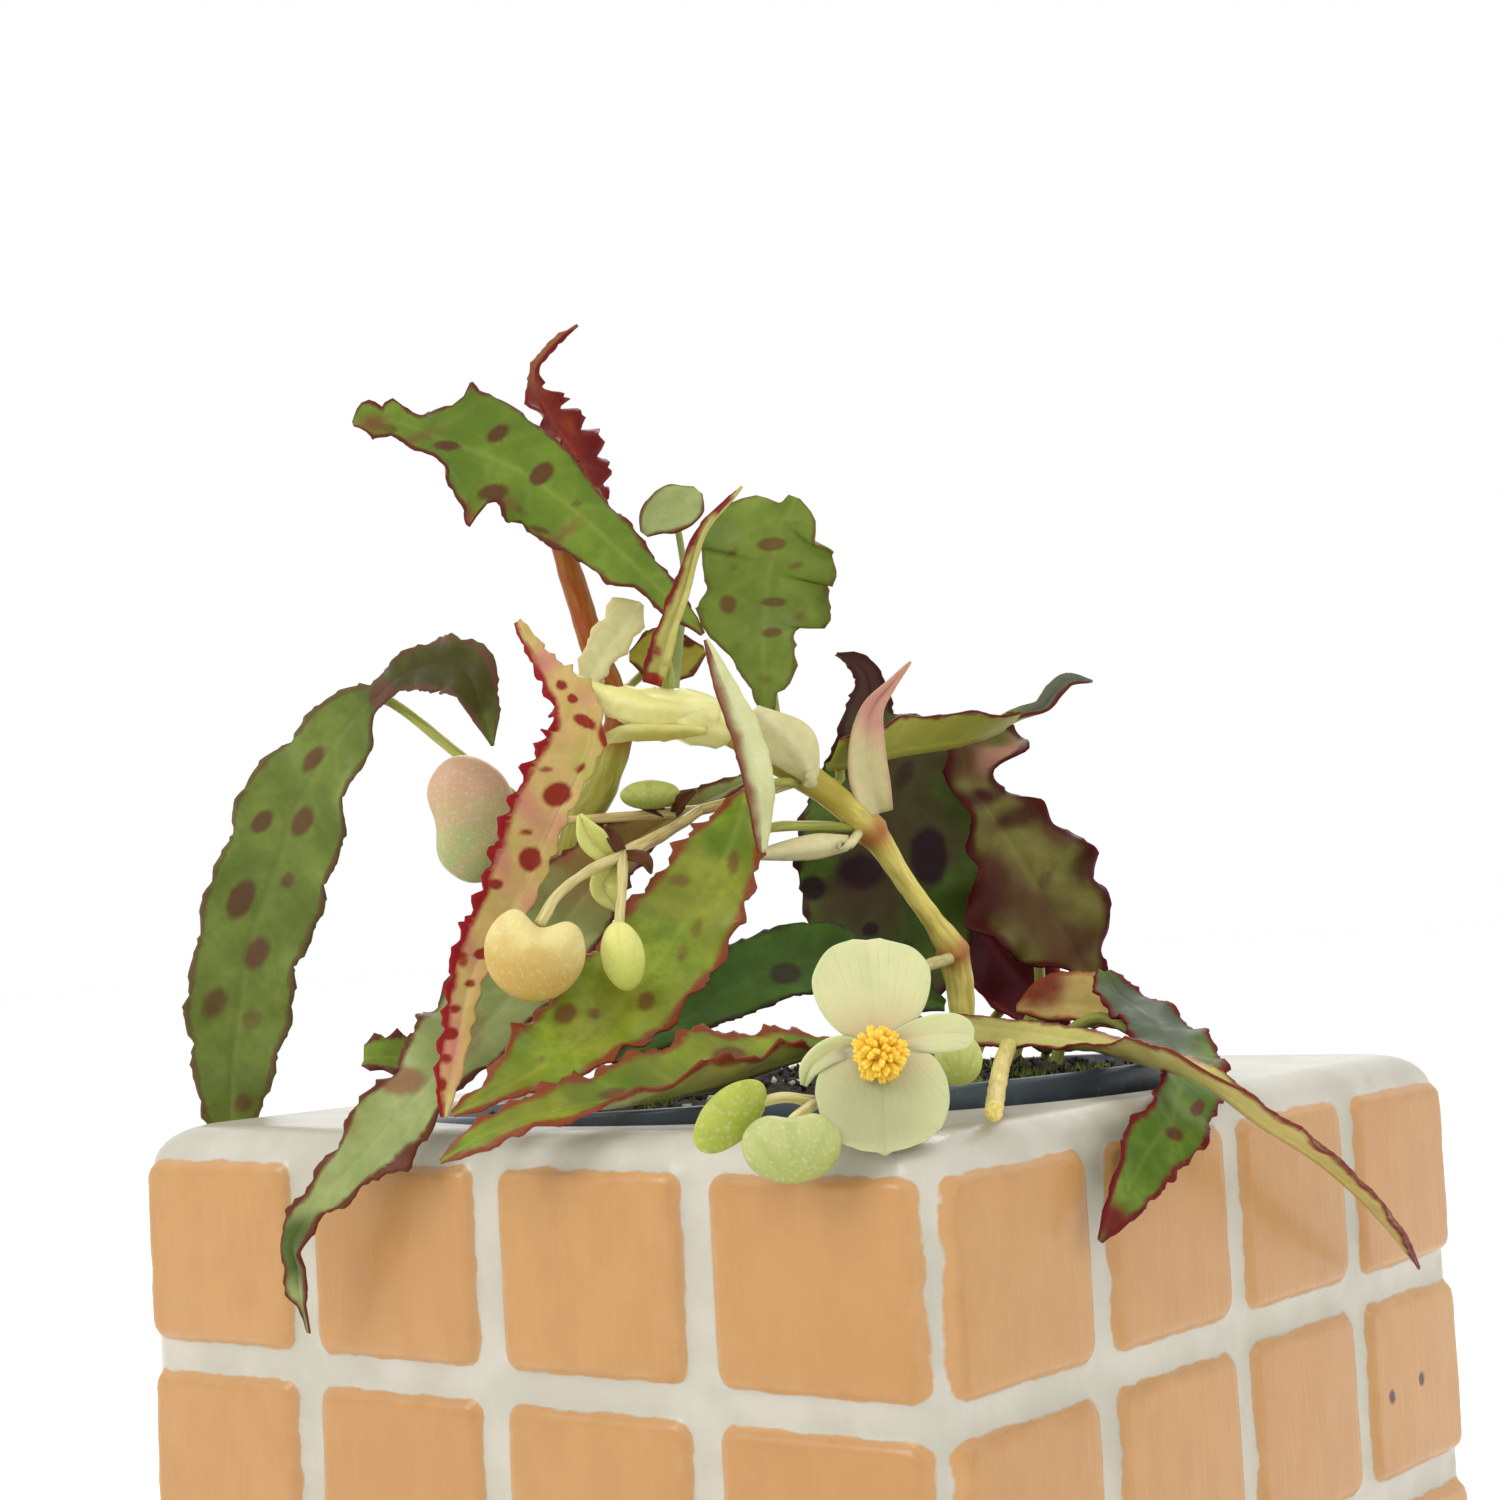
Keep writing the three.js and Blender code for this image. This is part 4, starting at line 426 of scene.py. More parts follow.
class Look:
    """A procedural material on the Principled shader."""

    def __init__(self, name, roughness, glow=(), **values):
        """glow is how far each colour spreads under the surface, in mm; values are inputs of the shader."""
        self.material = bpy.data.materials.new(name)
        self.material.use_nodes = True
        self.tree = self.material.node_tree
        self.shader = self.tree.nodes["Principled BSDF"]
        if glow:
            values.update(Subsurface_Radius=glow, Subsurface_Scale=MM)
        for key, value in {"Roughness": roughness, **values}.items():
            self.shader.inputs[key.replace("_", " ")].default_value = value
        self.coordinates = self.node("ShaderNodeTexCoord").outputs["Object"]

    def node(self, kind, inputs=None, **settings):
        """A new node with its settings, and its inputs linked to sockets or set to values."""
        made = self.tree.nodes.new(kind)
        for key, value in settings.items():
            setattr(made, key, value)
        for key, value in (inputs or {}).items():
            if isinstance(value, bpy.types.NodeSocket):
                self.tree.links.new(value, made.inputs[key])
            else:
                made.inputs[key].default_value = value
        return made

    def parts(self, name):
        """The three numbers of a vector attribute."""
        found = self.node("ShaderNodeAttribute", attribute_name=name)
        split = self.node("ShaderNodeSeparateXYZ", {"Vector": found.outputs["Vector"]})
        return [split.outputs[k] for k in "XYZ"]

    def tint(self):
        """The listed patches: up to 1 for a look's tint, down to -1 for its second colour."""
        return self.node("ShaderNodeAttribute", attribute_name="tint").outputs["Fac"]

    def maths(self, operation, *values):
        return self.node("ShaderNodeMath", dict(enumerate(values)), operation=operation).outputs[0]

    def add(self, a, b):
        return self.maths("ADD", a, b)

    def times(self, a, b):
        return self.maths("MULTIPLY", a, b)

    def ragged(self, value, size, share):
        """Value made uneven by noise of a size in mm."""
        return self.add(value, self.times(self.maths("SUBTRACT", self.noise(size, 3), 0.5), share))

    def noise(self, size, detail=3, stretch=(1, 1, 1), rough=0.5):
        """Noise, 0 to 1, with features of a size in mm, stretched along x, y and z."""
        shrink = {"Vector": self.coordinates, "Scale": tuple(1 / k for k in stretch)}
        scaled = self.node("ShaderNodeMapping", shrink).outputs[0]
        grain = {"Vector": scaled, "Scale": 1 / (size * MM), "Detail": detail, "Roughness": rough}
        return self.node("ShaderNodeTexNoise", grain).outputs["Fac"]

    def ramp(self, factor, low, high, bottom=0.0, top=1.0):
        """Factor mapped smoothly from between low and high to between bottom and top."""
        span = {"Value": factor, "From Min": low, "From Max": high, "To Min": bottom, "To Max": top}
        return self.node("ShaderNodeMapRange", span, interpolation_type="SMOOTHSTEP").outputs[0]

    def blend(self, factor, a, b):
        """Colour between a and b, which are hex colours or sockets."""
        a, b = (rgb(v) if isinstance(v, str) else v for v in (a, b))
        made = self.node("ShaderNodeMix", {0: factor, 6: a, 7: b}, data_type="RGBA", clamp_factor=True)
        return made.outputs[2]

    def finish(self, colour, bump, strength, distance, roughness=None):
        """The material, with a bump of a distance in mm."""
        self.tree.links.new(colour, self.shader.inputs["Base Color"])
        made = self.node("ShaderNodeBump", {"Height": bump, "Strength": strength, "Distance": distance * MM})
        self.tree.links.new(made.outputs[0], self.shader.inputs["Normal"])
        if roughness is not None:
            self.tree.links.new(roughness, self.shader.inputs["Roughness"])
        return self.material


def leaf_look(name, green, deep, under, spot="#56281f", margin="#5a1d17", vein="#9aa650", spot_share=0.85,
              margin_share=0.85, margin_width=0.16, blush=None, blush_share=0.0, gloss=0.42, tint="#3f3a18",
              second="#8d9a7c", vein_share=0.25, shine=0.1):
    """Fleshy leaf: two greens in clouds, soft spots, a dark toothed margin, pale veins and its own underside.

    tint and second are the colours of its listed patches, blush that of its clouds.
    """
    look = Look(name, gloss, (0.6, 1.0, 0.3), Subsurface_Weight=0.1, Specular_IOR_Level=shine)
    spots, edge, veins = look.parts("marks")
    _, _, side = look.parts("place")
    cloud = look.ramp(look.noise(7, 4), 0.32, 0.68)
    fine = look.noise(0.7, 4)
    colour = look.blend(cloud, green, deep)
    colour = look.blend(look.ramp(look.noise(2.3, 5, rough=0.65), 0.42, 0.66, 0, 0.55), colour, deep)
    colour = look.blend(look.times(veins, vein_share), colour, vein)
    area = look.times(look.tint(), look.add(look.times(look.noise(2.6, 4), 1.1), 0.45))
    colour = look.blend(look.ramp(area, 0.0, 0.9), colour, tint)
    colour = look.blend(look.ramp(area, 0.0, -0.9), colour, second)
    if blush:
        colour = look.blend(look.ramp(look.noise(9, 2, rough=0.4), 0.42, 0.62, 0, blush_share), colour, blush)
    ragged = look.ragged(spots, 1.1, 0.32)
    colour = look.blend(look.ramp(ragged, 0.18, 0.72, 0, spot_share), colour, spot)
    below = look.blend(cloud, under, look.blend(0.5, under, deep))
    below = look.blend(look.times(veins, 0.4), below, vein)
    below = look.blend(look.ramp(ragged, 0.4, 0.8, 0, 0.4), below, spot)
    colour = look.blend(look.ramp(side, 0.2, 0.6), below, colour)
    wander = look.ragged(edge, 2.2, 0.7)
    colour = look.blend(look.ramp(wander, 1 - margin_width * 1.8, 1.02, 0, margin_share), colour, margin)
    colour = look.blend(look.ramp(edge, 0.93, 0.99, 0, margin_share), colour, margin)
    colour = look.blend(look.ramp(fine, 0.35, 0.75, 0, 0.16), colour, look.blend(0.5, colour, "#20240e"))
    bump = look.add(look.times(fine, 0.35), look.times(look.noise(2.4, 2), 0.8))
    bump = look.maths("SUBTRACT", bump, look.times(veins, 0.5))
    return look.finish(colour, bump, 0.35, 0.12, look.ramp(look.noise(3, 3), 0.3, 0.7, gloss - 0.08, gloss + 0.14))


def stem_look(name, colour, deep, ring="#a4602c", tip=None, length=40, gloss=0.38):
    """Fleshy stem: streaks along it, warm scars at its nodes, and another colour towards its tip."""
    look = Look(name, gloss, (1.0, 0.8, 0.3), Subsurface_Weight=0.15, Specular_IOR_Level=0.2)
    along, _, _ = look.parts("place")
    node, dark, _ = look.parts("marks")
    place = look.node("ShaderNodeAttribute", attribute_name="place").outputs["Vector"]
    long = look.node("ShaderNodeMapping", {"Vector": place, "Scale": (0.16, 1.4, 1.4)})
    made = look.node("ShaderNodeTexNoise", {"Vector": long.outputs[0], "Scale": 1.6, "Detail": 4.0})
    streak = look.ramp(made.outputs["Fac"], 0.38, 0.66)
    shade = look.blend(streak, colour, deep)
    if tip:
        tip = look.blend(look.times(streak, 0.3), tip, deep)
        shade = look.blend(look.ramp(along, length - 4, length), shade, tip)
    shade = look.blend(look.times(node, 0.85), shade, ring)
    shade = look.blend(look.times(dark, 0.9), shade, "#3c2412")  # the rim of a bract, 0 on a stem
    return look.finish(shade, look.add(made.outputs["Fac"], look.noise(0.4, 2)), 0.25, 0.08)


def petal_look(name, colour, tip, streak, edge=None):
    """Waxy tepal or bud: pale, with faint streaks, a tint towards one end and fine white specks of painted glints.
    """
    look = Look(name, 0.42, (1.2, 1.1, 0.6), Subsurface_Weight=0.3, Specular_IOR_Level=0.25, Coat_Weight=0.05,
                Coat_Roughness=0.3)
    top, rim, veins = look.parts("marks")
    cloud = look.noise(2.4, 3)
    shade = look.blend(look.ramp(look.add(top, look.times(cloud, 0.4)), 0.45, 1.0), tip, colour)
    shade = look.blend(look.times(look.ramp(veins, 0.6, 1), 0.3), shade, streak)
    if edge:
        shade = look.blend(look.times(rim, 0.6), shade, edge)
    # painted glints: fine white specks in the base colour stand in for the sparkle of light on the wax
    shade = look.blend(look.ramp(look.noise(0.35, 2), 0.5, 0.75, 0, 0.12), shade, "#ffffff")
    return look.finish(shade, look.noise(0.3, 2), 0.3, 0.05)


# ---- Ceramic pot

def tile_x(column):
    """Middle of a column of tiles along its side."""
    return TILE_PITCH[0] * (column - (TILES - 1) / 2)


def pot_outline():
    """Points round one side from corner to corner: (x along the side, angle round the corner or 0)."""
    half = POT_SIDE / 2 - TILE_RISE
    flat = half - POT_CORNER
    near = [-11.58, -10.9, -10.5, -10.2, -9.95, -9.7, -9.4, -9.0, -8.4, -7.4, -5.6, -3.6, -1.8, 0]
    tile = np.array(near + [-k for k in reversed(near[1:-1])])
    xs = np.concatenate([tile + tile_x(k) for k in range(TILES)])
    xs = xs[np.abs(xs) < flat]
    arc = np.radians(np.linspace(0, 45, 7))
    left = [(-flat - POT_CORNER * math.sin(a), a) for a in arc[::-1]]
    right = [(flat + POT_CORNER * math.sin(a), a) for a in arc[:-1]]
    return [*left, *[(x, 0.0) for x in xs], *right]


def pot_levels():
    """Heights of the rings of the pot's outside, closer together at the tiles' edges, and of the rows of tiles."""
    near = [-9.9, -9.3, -8.95, -8.65, -8.4, -8.15, -7.85, -7.4, -6.8, -5.6, -3.8, -1.9, 0]
    tile = np.array(near + [-k for k in reversed(near[1:-1])])
    rows = [TILE_TOP - TILE_HALF[1] - TILE_PITCH[1] * k for k in range(TILES)]
    levels = sorted({round(float(z), 3) for row in rows for z in tile + row})
    return [z for z in levels if 1.2 < z < POT_HEIGHT - POT_EDGE - 0.2], rows


def build_pot(material):
    """The square pot: its outside with the relief, the rounded rim, the round opening and the inside."""
    half = POT_SIDE / 2 - TILE_RISE
    outline = pot_outline()
    levels, rows = pot_levels()
    rings, tiles = [], []

    def ring(inset, height, relief=False):
        """A ring of the outside; each point's place is its distance past a tile's edges and that tile's tone."""
        points, marks = [], []
        for side in range(4):
            c, s = math.cos(side * math.pi / 2), math.sin(side * math.pi / 2)
            corner = POT_CORNER + inset / 2
            for x, a in outline:
                flat = half - inset - corner
                if a:
                    px = math.copysign(flat + corner * math.sin(a), x)
                    depth = flat + corner * math.cos(a)
                else:
                    px, depth = x * flat / (half - POT_CORNER), half - inset
                mark = OFF_TILES
                if relief:
                    column = min(TILES - 1, max(0, round(x / TILE_PITCH[0] + (TILES - 1) / 2)))
                    row = min(range(TILES), key=lambda k: abs(height - rows[k]))
                    dx = abs(x - tile_x(column)) - TILE_HALF[0]
                    dz = abs(height - rows[row]) - TILE_HALF[1]
                    mark = (dx, dz, ((side * TILES**2 + column * TILES + row) * GOLDEN) % 1)
                    ex, ez = max(dx + TILE_ROUND, 0), max(dz + TILE_ROUND, 0)
                    far = math.hypot(ex, ez) - TILE_ROUND
                    wobble = TILE_WOBBLE * noise.noise(Vector((x / 3.1, height / 3.1, side * 9.0)))
                    rise = min(1, max(0, (TILE_EDGE[0] - far + wobble) / TILE_EDGE[1]))
                    rise = rise * rise * (3 - 2 * rise)
                    pillow = sum(max(0, 1 + d / reach) ** 3 for d, reach in zip((dx, dz), TILE_HALF))
                    pillow = 0.97 - TILE_PILLOW * pillow + 0.05 * noise.noise(Vector((x / 6, height / 6, side)))
                    top = half - inset + TILE_RISE * pillow
                    sink = JOINT_DEPTH * (1 - rise) * max(0, min(1, (far - 0.2) / 1.0)) * (a == 0)
                    depth = depth + (top - depth) * rise - sink
                    px = px + (x - px) * rise
                points.append((c * px + s * depth, s * px - c * depth, height))
                marks.append(mark)
        rings.append(np.array(points))
        tiles.append(np.array(marks, float))

    def round_ring(radius, height, blend=1.0, base=None):
        """A ring between the one below it, or base, and a circle."""
        base = rings[-1] if base is None else base
        angle = np.arctan2(base[:, 1], base[:, 0])
        circle = np.c_[radius * np.cos(angle), radius * np.sin(angle)]
        flat = base[:, :2] * (1 - blend) + circle * blend
        rings.append(np.c_[flat, np.full(len(flat), height)])
        tiles.append(np.tile(OFF_TILES, (len(flat), 1)))

    ring(FOOT_INSET, 0)
    ring(0.45, 0.25)
    ring(0.12, 0.7)
    for z in levels:
        ring(0, z, True)
    for turn in (0, 5, 10, 16, 24, 36, 48, 60, 72, 82, 90):
        inset = POT_EDGE * (1 - math.cos(math.radians(turn)))
        ring(inset, POT_HEIGHT - POT_EDGE * (1 - math.sin(math.radians(turn))), turn < 30)
    shoulder = rings[-1]
    lip = OPENING + FLARE
    for share in (0.2, 0.45, 0.7, 0.88, 1.0):
        dip = 0.12 * math.sin(math.pi * share)
        round_ring(lip, POT_HEIGHT - dip, share, shoulder)
    for turn in (22, 45, 68, 90):
        a = math.radians(turn)
        round_ring(OPENING + FLARE * (1 - math.sin(a)), POT_HEIGHT - FLARE * (1 - math.cos(a)))
    round_ring(OPENING, POT_HEIGHT - WEB + 0.6)
    round_ring(OPENING + 0.4, POT_HEIGHT - WEB)
    foot = rings[0][:, :2] / (half - FOOT_INSET)
    for height, inset in ((POT_HEIGHT - WEB, 2.4), (POT_HEIGHT - WEB - 2, 0), (60, 0), (36, 0), (POT_FLOOR + 2, 0),
                          (POT_FLOOR, 2)):
        rings.append(np.c_[foot * (POT_INSIDE - inset), np.full(len(foot), height)])
        tiles.append(np.tile(OFF_TILES, (len(foot), 1)))
    piece = Piece("pot_ceramic", "glaze", "Ceramic_pot")
    count = len(rings[0])
    points = np.concatenate([*rings, [[0, 0, 0], [0, 0, POT_FLOOR]]])
    piece.add(points, tube_faces(len(rings), count), np.concatenate([*tiles, [OFF_TILES] * 2]), (0, 0, 0))
    return piece.build(material, plant=False)


def glaze_look():
    """Peach glaze on the tiles with brush strokes, specks and two pits, and white joints and rim."""
    look = Look("Glaze", 0.34, Specular_IOR_Level=0.3, Coat_Weight=0.18, Coat_Roughness=0.12)
    dx, dz, tone = look.parts("place")
    corner = 1.5
    far_x = look.maths("MAXIMUM", look.add(dx, corner), 0.0)
    far_z = look.maths("MAXIMUM", look.add(dz, corner), 0.0)
    squares = look.add(look.times(far_x, far_x), look.times(far_z, far_z))
    far = look.maths("SUBTRACT", look.maths("SQRT", squares), corner)
    wobble = look.times(look.maths("SUBTRACT", look.noise(2.6, 4, rough=0.55), 0.5), 0.9)
    paint = look.ramp(look.add(far, wobble), -0.02, 0.16, 1, 0)
    streaks = look.ramp(look.noise(3.2, 4, (1.2, 1.2, 1.8), 0.6), 0.36, 0.68)
    strokes = look.ramp(look.noise(1.3, 3, (0.5, 0.5, 4)), 0.45, 0.72)
    peach = look.blend(look.times(streaks, 0.6), "#ba8b53", "#b2824b")
    peach = look.blend(look.times(strokes, 0.07), peach, "#cc9c68")
    peach = look.blend(look.times(tone, 0.35), peach, "#b4814e")
    thin = look.ramp(look.add(far, look.times(wobble, 1.6)), -1.0, -0.1)
    peach = look.blend(look.times(thin, 0.3), peach, "#d0a577")
    white = look.blend(look.ramp(look.noise(6, 3), 0.35, 0.65), "#c1bcad", "#b7b2a2")
    colour = look.blend(paint, white, peach)
    specks = look.node("ShaderNodeTexVoronoi", {"Vector": look.coordinates, "Scale": 95.0, "Randomness": 1.0})
    size = look.ramp(look.noise(16, 1), 0.5, 0.75, 0.0, 0.055)
    pit = look.maths("LESS_THAN", specks.outputs["Distance"], size)
    colour = look.blend(look.times(pit, 0.75), colour, "#5d4430")
    for place in PITS:
        centre = {0: look.coordinates, 1: tuple(k * MM for k in place)}
        away = look.node("ShaderNodeVectorMath", centre, operation="DISTANCE").outputs["Value"]
        away = look.add(away, look.times(look.noise(0.5, 2), 0.4 * MM))
        colour = look.blend(look.ramp(away, 0.6 * MM, 1.1 * MM, 1, 0), colour, "#45230c")
    bump = look.add(look.noise(5, 2), look.times(paint, 0.35))
    bump = look.add(bump, look.times(strokes, 0.2))
    return look.finish(colour, bump, 0.3, 0.25)


# ---- Nursery pot and soil

def round_rings(profile, sides):
    """Rings of points, one for each (radius, height) of a profile."""
    turn = np.arange(sides) * 2 * math.pi / sides
    return [np.c_[r * np.cos(turn), r * np.sin(turn), np.full(sides, z)] for r, z in profile]


def leaned(points):
    """The nursery pot's rim leans a little: the lean grows with height from its foot."""
    points = np.array(points, float)
    share = NURSERY_LEAN * np.maximum(0, points[:, 2] - POT_FLOOR) / (NURSERY_TOP - POT_FLOOR)
    points[:, 2] += share * (points[:, 0] - points[:, 1])
    return points


def build_nursery(material):
    """Thin-walled round pot with a ledge below its rim."""
    foot, ledge, r = POT_FLOOR + 0.3, NURSERY_TOP - NURSERY_LEDGE, NURSERY_RADIUS
    profile = [(NURSERY_FOOT - 1, foot), (NURSERY_FOOT, foot + 1), (r - 1.6, ledge - 0.8), (r - 1.6, ledge - 0.1),
               (r - 0.3, ledge), (r - 0.05, ledge + 0.25), (r, NURSERY_TOP - 0.4), (r - 0.12, NURSERY_TOP - 0.1),
               (r - 0.4, NURSERY_TOP), (r - 0.9, NURSERY_TOP), (r - 1.1, NURSERY_TOP - 0.15), (r - 1.3, ledge),
               (r - 2.7, ledge - 1.6), (NURSERY_FOOT - 1, foot + 2), (NURSERY_FOOT - 3, foot + 1)]
    sides = 144
    points = np.concatenate([*round_rings(profile, sides), [[0, 0, foot], [0, 0, foot + 1]]])
    piece = Piece("nursery_pot", "nursery_plastic")
    piece.add(leaned(points), tube_faces(len(profile), sides), (0, 0, 1), (0, 0, 0))
    return piece.build(material)


def soil_height(x, y):
    """Height of the mound of soil, without its crumbs."""
    mound = SOIL_MOUND * (1 - (np.hypot(x, y) / NURSERY_RADIUS) ** 2)
    bumps = np.sin(x * 0.61 + 1) * np.cos(y * 0.53) + 0.6 * np.sin(x * 1.07 - y * 0.91)
    return SOIL_EDGE + mound + SOIL_BUMP * bumps


def build_soil(soil, perlite, moss):
    """Root ball with a crumbly top, bark crumbs, white perlite and tufts of moss."""
    foot, sides = POT_FLOOR + 1.6, 180
    wall = [(NURSERY_FOOT - 3.6, foot), (NURSERY_FOOT - 1.6, foot + 2),
            (NURSERY_RADIUS - 3.1, NURSERY_TOP - NURSERY_LEDGE - 1.2), (NURSERY_RADIUS - 1.9, SOIL_EDGE - 0.4)]
    rings = round_rings(wall, sides)
    for flat in round_rings([(r, 0) for r in np.linspace(NURSERY_RADIUS - 2.2, 0.6, 56)], sides):
        crumbs = 0.75 * np.abs(lumps(flat, 1.9, 3)) + 0.5 * np.abs(lumps(flat, 0.8, 5)) + 0.35 * lumps(flat, 5, 8)
        rings.append(np.c_[flat[:, :2], soil_height(flat[:, 0], flat[:, 1]) + crumbs - 0.35])
    points = np.concatenate([*rings, [[0, 0, foot], [0, 0, rings[-1][:, 2].mean()]]])
    piece = Piece("potting_soil", "soil")
    piece.add(leaned(points), tube_faces(len(rings), sides), (0, 0, 1), (0, 0, 0))
    rng = np.random.default_rng(11)
    crumb = [(1, 0, 0), (-1, 0, 0), (0, 1, 0), (0, -1, 0), (0, 0, 1), (0, 0, -1)]
    crumb_faces = [(0, 2, 4), (2, 1, 4), (1, 3, 4), (3, 0, 4), (2, 0, 5), (1, 2, 5), (3, 1, 5), (0, 3, 5)]
    for k in range(CRUMBS):
        radius, around = (NURSERY_RADIUS - 2.6) * math.sqrt(rng.uniform()), rng.uniform(0, 2 * math.pi)
        x, y = radius * math.cos(around), radius * math.sin(around)
        white = k % GRIT_EVERY == 0
        size = rng.uniform(0.35, 0.8) if white else rng.uniform(0.15, 0.75) * rng.uniform(0.5, 1)
        shape = np.array(crumb) * size * rng.uniform(0.6, 1.3, (6, 1))
        shape *= [1, rng.uniform(0.5, 1), rng.uniform(0.4, 0.9)]
        spin = np.array(Matrix.Rotation(rng.uniform(0, 6.28), 3, Vector(rng.normal(size=3))))
        z = float(soil_height(x, y)) + 0.25
        piece.add(leaned(shape @ spin.T + [x, y, z]), crumb_faces, (0, 0, 1), (0, 0, 0), 1 if white else 0)
    for x, y, spread in MOSS:
        for _ in range(MOSS_BLADES):
            dx, dy = rng.normal(size=2) * spread * 0.5
            base = np.array([x + dx, y + dy, float(soil_height(x + dx, y + dy)) - 0.1])
            tip = base + [*rng.normal(size=2) * 0.4, rng.uniform(0.5, 1.5)]
            wide = rng.normal(size=3) * 0.14
            body = np.array([base - wide, base + wide, base + [wide[1], -wide[0], 0], tip])
            piece.add(leaned(body), [(0, 2, 1), (0, 1, 3), (1, 2, 3), (2, 0, 3)], (0, 0, 1), (0, 0, 0), 2)
    return piece.build(soil, perlite, moss)


# ---- Plant

NEAR = (0, -1, 0.1)
NEAR_UP = (0, -0.85, 0.5)
UP = (0, -0.25, 0.97)
LEFT_FACE = (-0.616, -0.788, 0.05)

leaf_green = leaf_look("Leaf_green", "#72862f", "#5a7122", "#86784a", margin="#5e2420", tint="#74362e")
leaf_back = leaf_look("Leaf_back", "#7d8f3e", "#66792c", "#8a8350", spot="#653b2a", spot_share=0.75,
    margin="#6a4a2a", margin_share=0.5)
leaf_arch = leaf_look("Leaf_arch", "#74833a", "#5c6b2e", "#7d7650", spot="#5c372c", spot_share=0.85,
    margin="#5e3a2e", margin_share=0.5, margin_width=0.1, tint="#3d3a10", vein="#7f8c48")
leaf_bright = leaf_look("Leaf_bright", "#92a030", "#587416", "#a9a45a", spot="#6a3f22", margin="#80381c",
    vein="#a9b850", gloss=0.3, shine=0.2, margin_width=0.2, blush="#8a7a30", blush_share=0.35)
leaf_freckled = leaf_look("Leaf_freckled", "#a9a03e", "#8f8a34", "#a9a45a", spot="#5c1a14", margin="#5e2a1c",
    vein="#a39a50", spot_share=0.95)
# Its second colour "#4e5843" is painted sheen and shade: a grey-green patch over the upper blade of
# leaf_hang_right.
leaf_glossy = leaf_look("Leaf_glossy", "#6c8230", "#45611c", "#8a8a50", spot="#5c2420", margin="#641a1a",
    vein="#849840", margin_width=0.2, margin_share=1.0, second="#4e5843", tint="#6a2a20", gloss=0.46, shine=0.05)
leaf_soft = leaf_look("Leaf_soft", "#9aa368", "#828e52", "#9c9a6e", spot="#85503c", spot_share=0.75, vein="#a9b07c",
    margin="#5e2a1c", tint="#84683a", second="#4c5a28")
leaf_cream = leaf_look("Leaf_cream", "#c3a56b", "#b09654", "#b8a078", spot="#80120f", margin="#861018",
    vein="#cdbf80", margin_width=0.22, margin_share=1.0, tint="#b87a66", second="#a3a04c", spot_share=0.95)
leaf_pale = leaf_look("Leaf_pale", "#c9bf76", "#b2ab5c", "#cdc27a", spot="#8c3a26", margin="#701c16",
    vein="#cfc680", tint="#6a4a26", second="#ae7c5c", margin_width=0.2)
leaf_spine = leaf_look("Leaf_spine", "#bdb66c", "#a39c50", "#b3a86c", spot="#8e1c22", margin="#6e1a18",
    vein="#c8c080", margin_width=0.2, margin_share=1.0, spot_share=0.9, tint="#7a2c20")
leaf_night = leaf_look("Leaf_night", "#566a2b", "#41541f", "#5a2326", spot="#2c1622", margin="#3c1b16",
    vein="#66783a", spot_share=0.92, tint="#4a3426", blush="#4a262a", blush_share=0.6)
leaf_shade = leaf_look("Leaf_shade", "#52702c", "#3f5a22", "#5a2a28", spot="#3c2a26", margin="#38301a",
    vein="#5f7838", spot_share=0.85, gloss=0.36)
leaf_olive = leaf_look("Leaf_olive", "#77723a", "#5f5826", "#6a2a2c", spot="#431a16", margin="#47100e",
    vein="#8d8a50", tint="#3b1410", second="#a97f68", margin_width=0.4, margin_share=0.95, vein_share=0.3,
    blush="#4a2016", blush_share=0.75)
leaf_wine = leaf_look("Leaf_wine", "#5e131b", "#421015", "#7a2028", spot="#2c0f14", margin="#7c2a2a",
    vein="#6f2530")
leaf_red = leaf_look("Leaf_red", "#8e2c1c", "#5e1812", "#8f4a30", spot="#5d1a18", margin="#6a0f0e", vein="#a2563f",
    margin_width=0.4, tint="#8d5a3c", second="#a8481c")
leaf_tan = leaf_look("Leaf_tan", "#cfb46c", "#bda258", "#c4a464", spot="#8c3a26", margin="#8a3a26", vein="#c8b27a",
    tint="#7e3322", margin_width=0.2)
leaf_band = leaf_look("Leaf_band", "#8f8f44", "#7c7c36", "#929136", spot="#3c3418", margin="#5a1c14",
    vein="#a3a350", margin_share=1.0, margin_width=0.16, tint="#7c2a1c", second="#5d6250")
papery = leaf_look("Stipule", "#dfd8a4", "#cbc78a", "#d8cd9f", spot="#c9a58a", margin="#cdbb8c", vein="#e6dfb4",
    margin_share=0.4, spot_share=0.0, gloss=0.34)
# Its tint "#a9a04c" is painted shade: the listed patch darkens the lower fold of the young shoot's sheath.
sheath = leaf_look("Sheath", "#efe9a4", "#ddd685", "#e6df98", margin="#c9b878", vein="#f2edb4", margin_share=0.3,
    spot_share=0.0, gloss=0.3, tint="#a9a04c")
papery_edged = leaf_look("Stipule_edged", "#cfcfa0", "#bcbf88", "#d8cd9f", spot="#c9a58a", margin="#6e2a1e",
    vein="#dcd9b0", margin_share=0.9, margin_width=0.4, spot_share=0.0)
papery_pink = leaf_look("Stipule_pink", "#d9d2a0", "#c9be8c", "#d9c3a4", spot="#c99a8a", margin="#b98a72",
    vein="#e0d7b0", margin_share=0.4, spot_share=0.0, tint="#c08a7c")

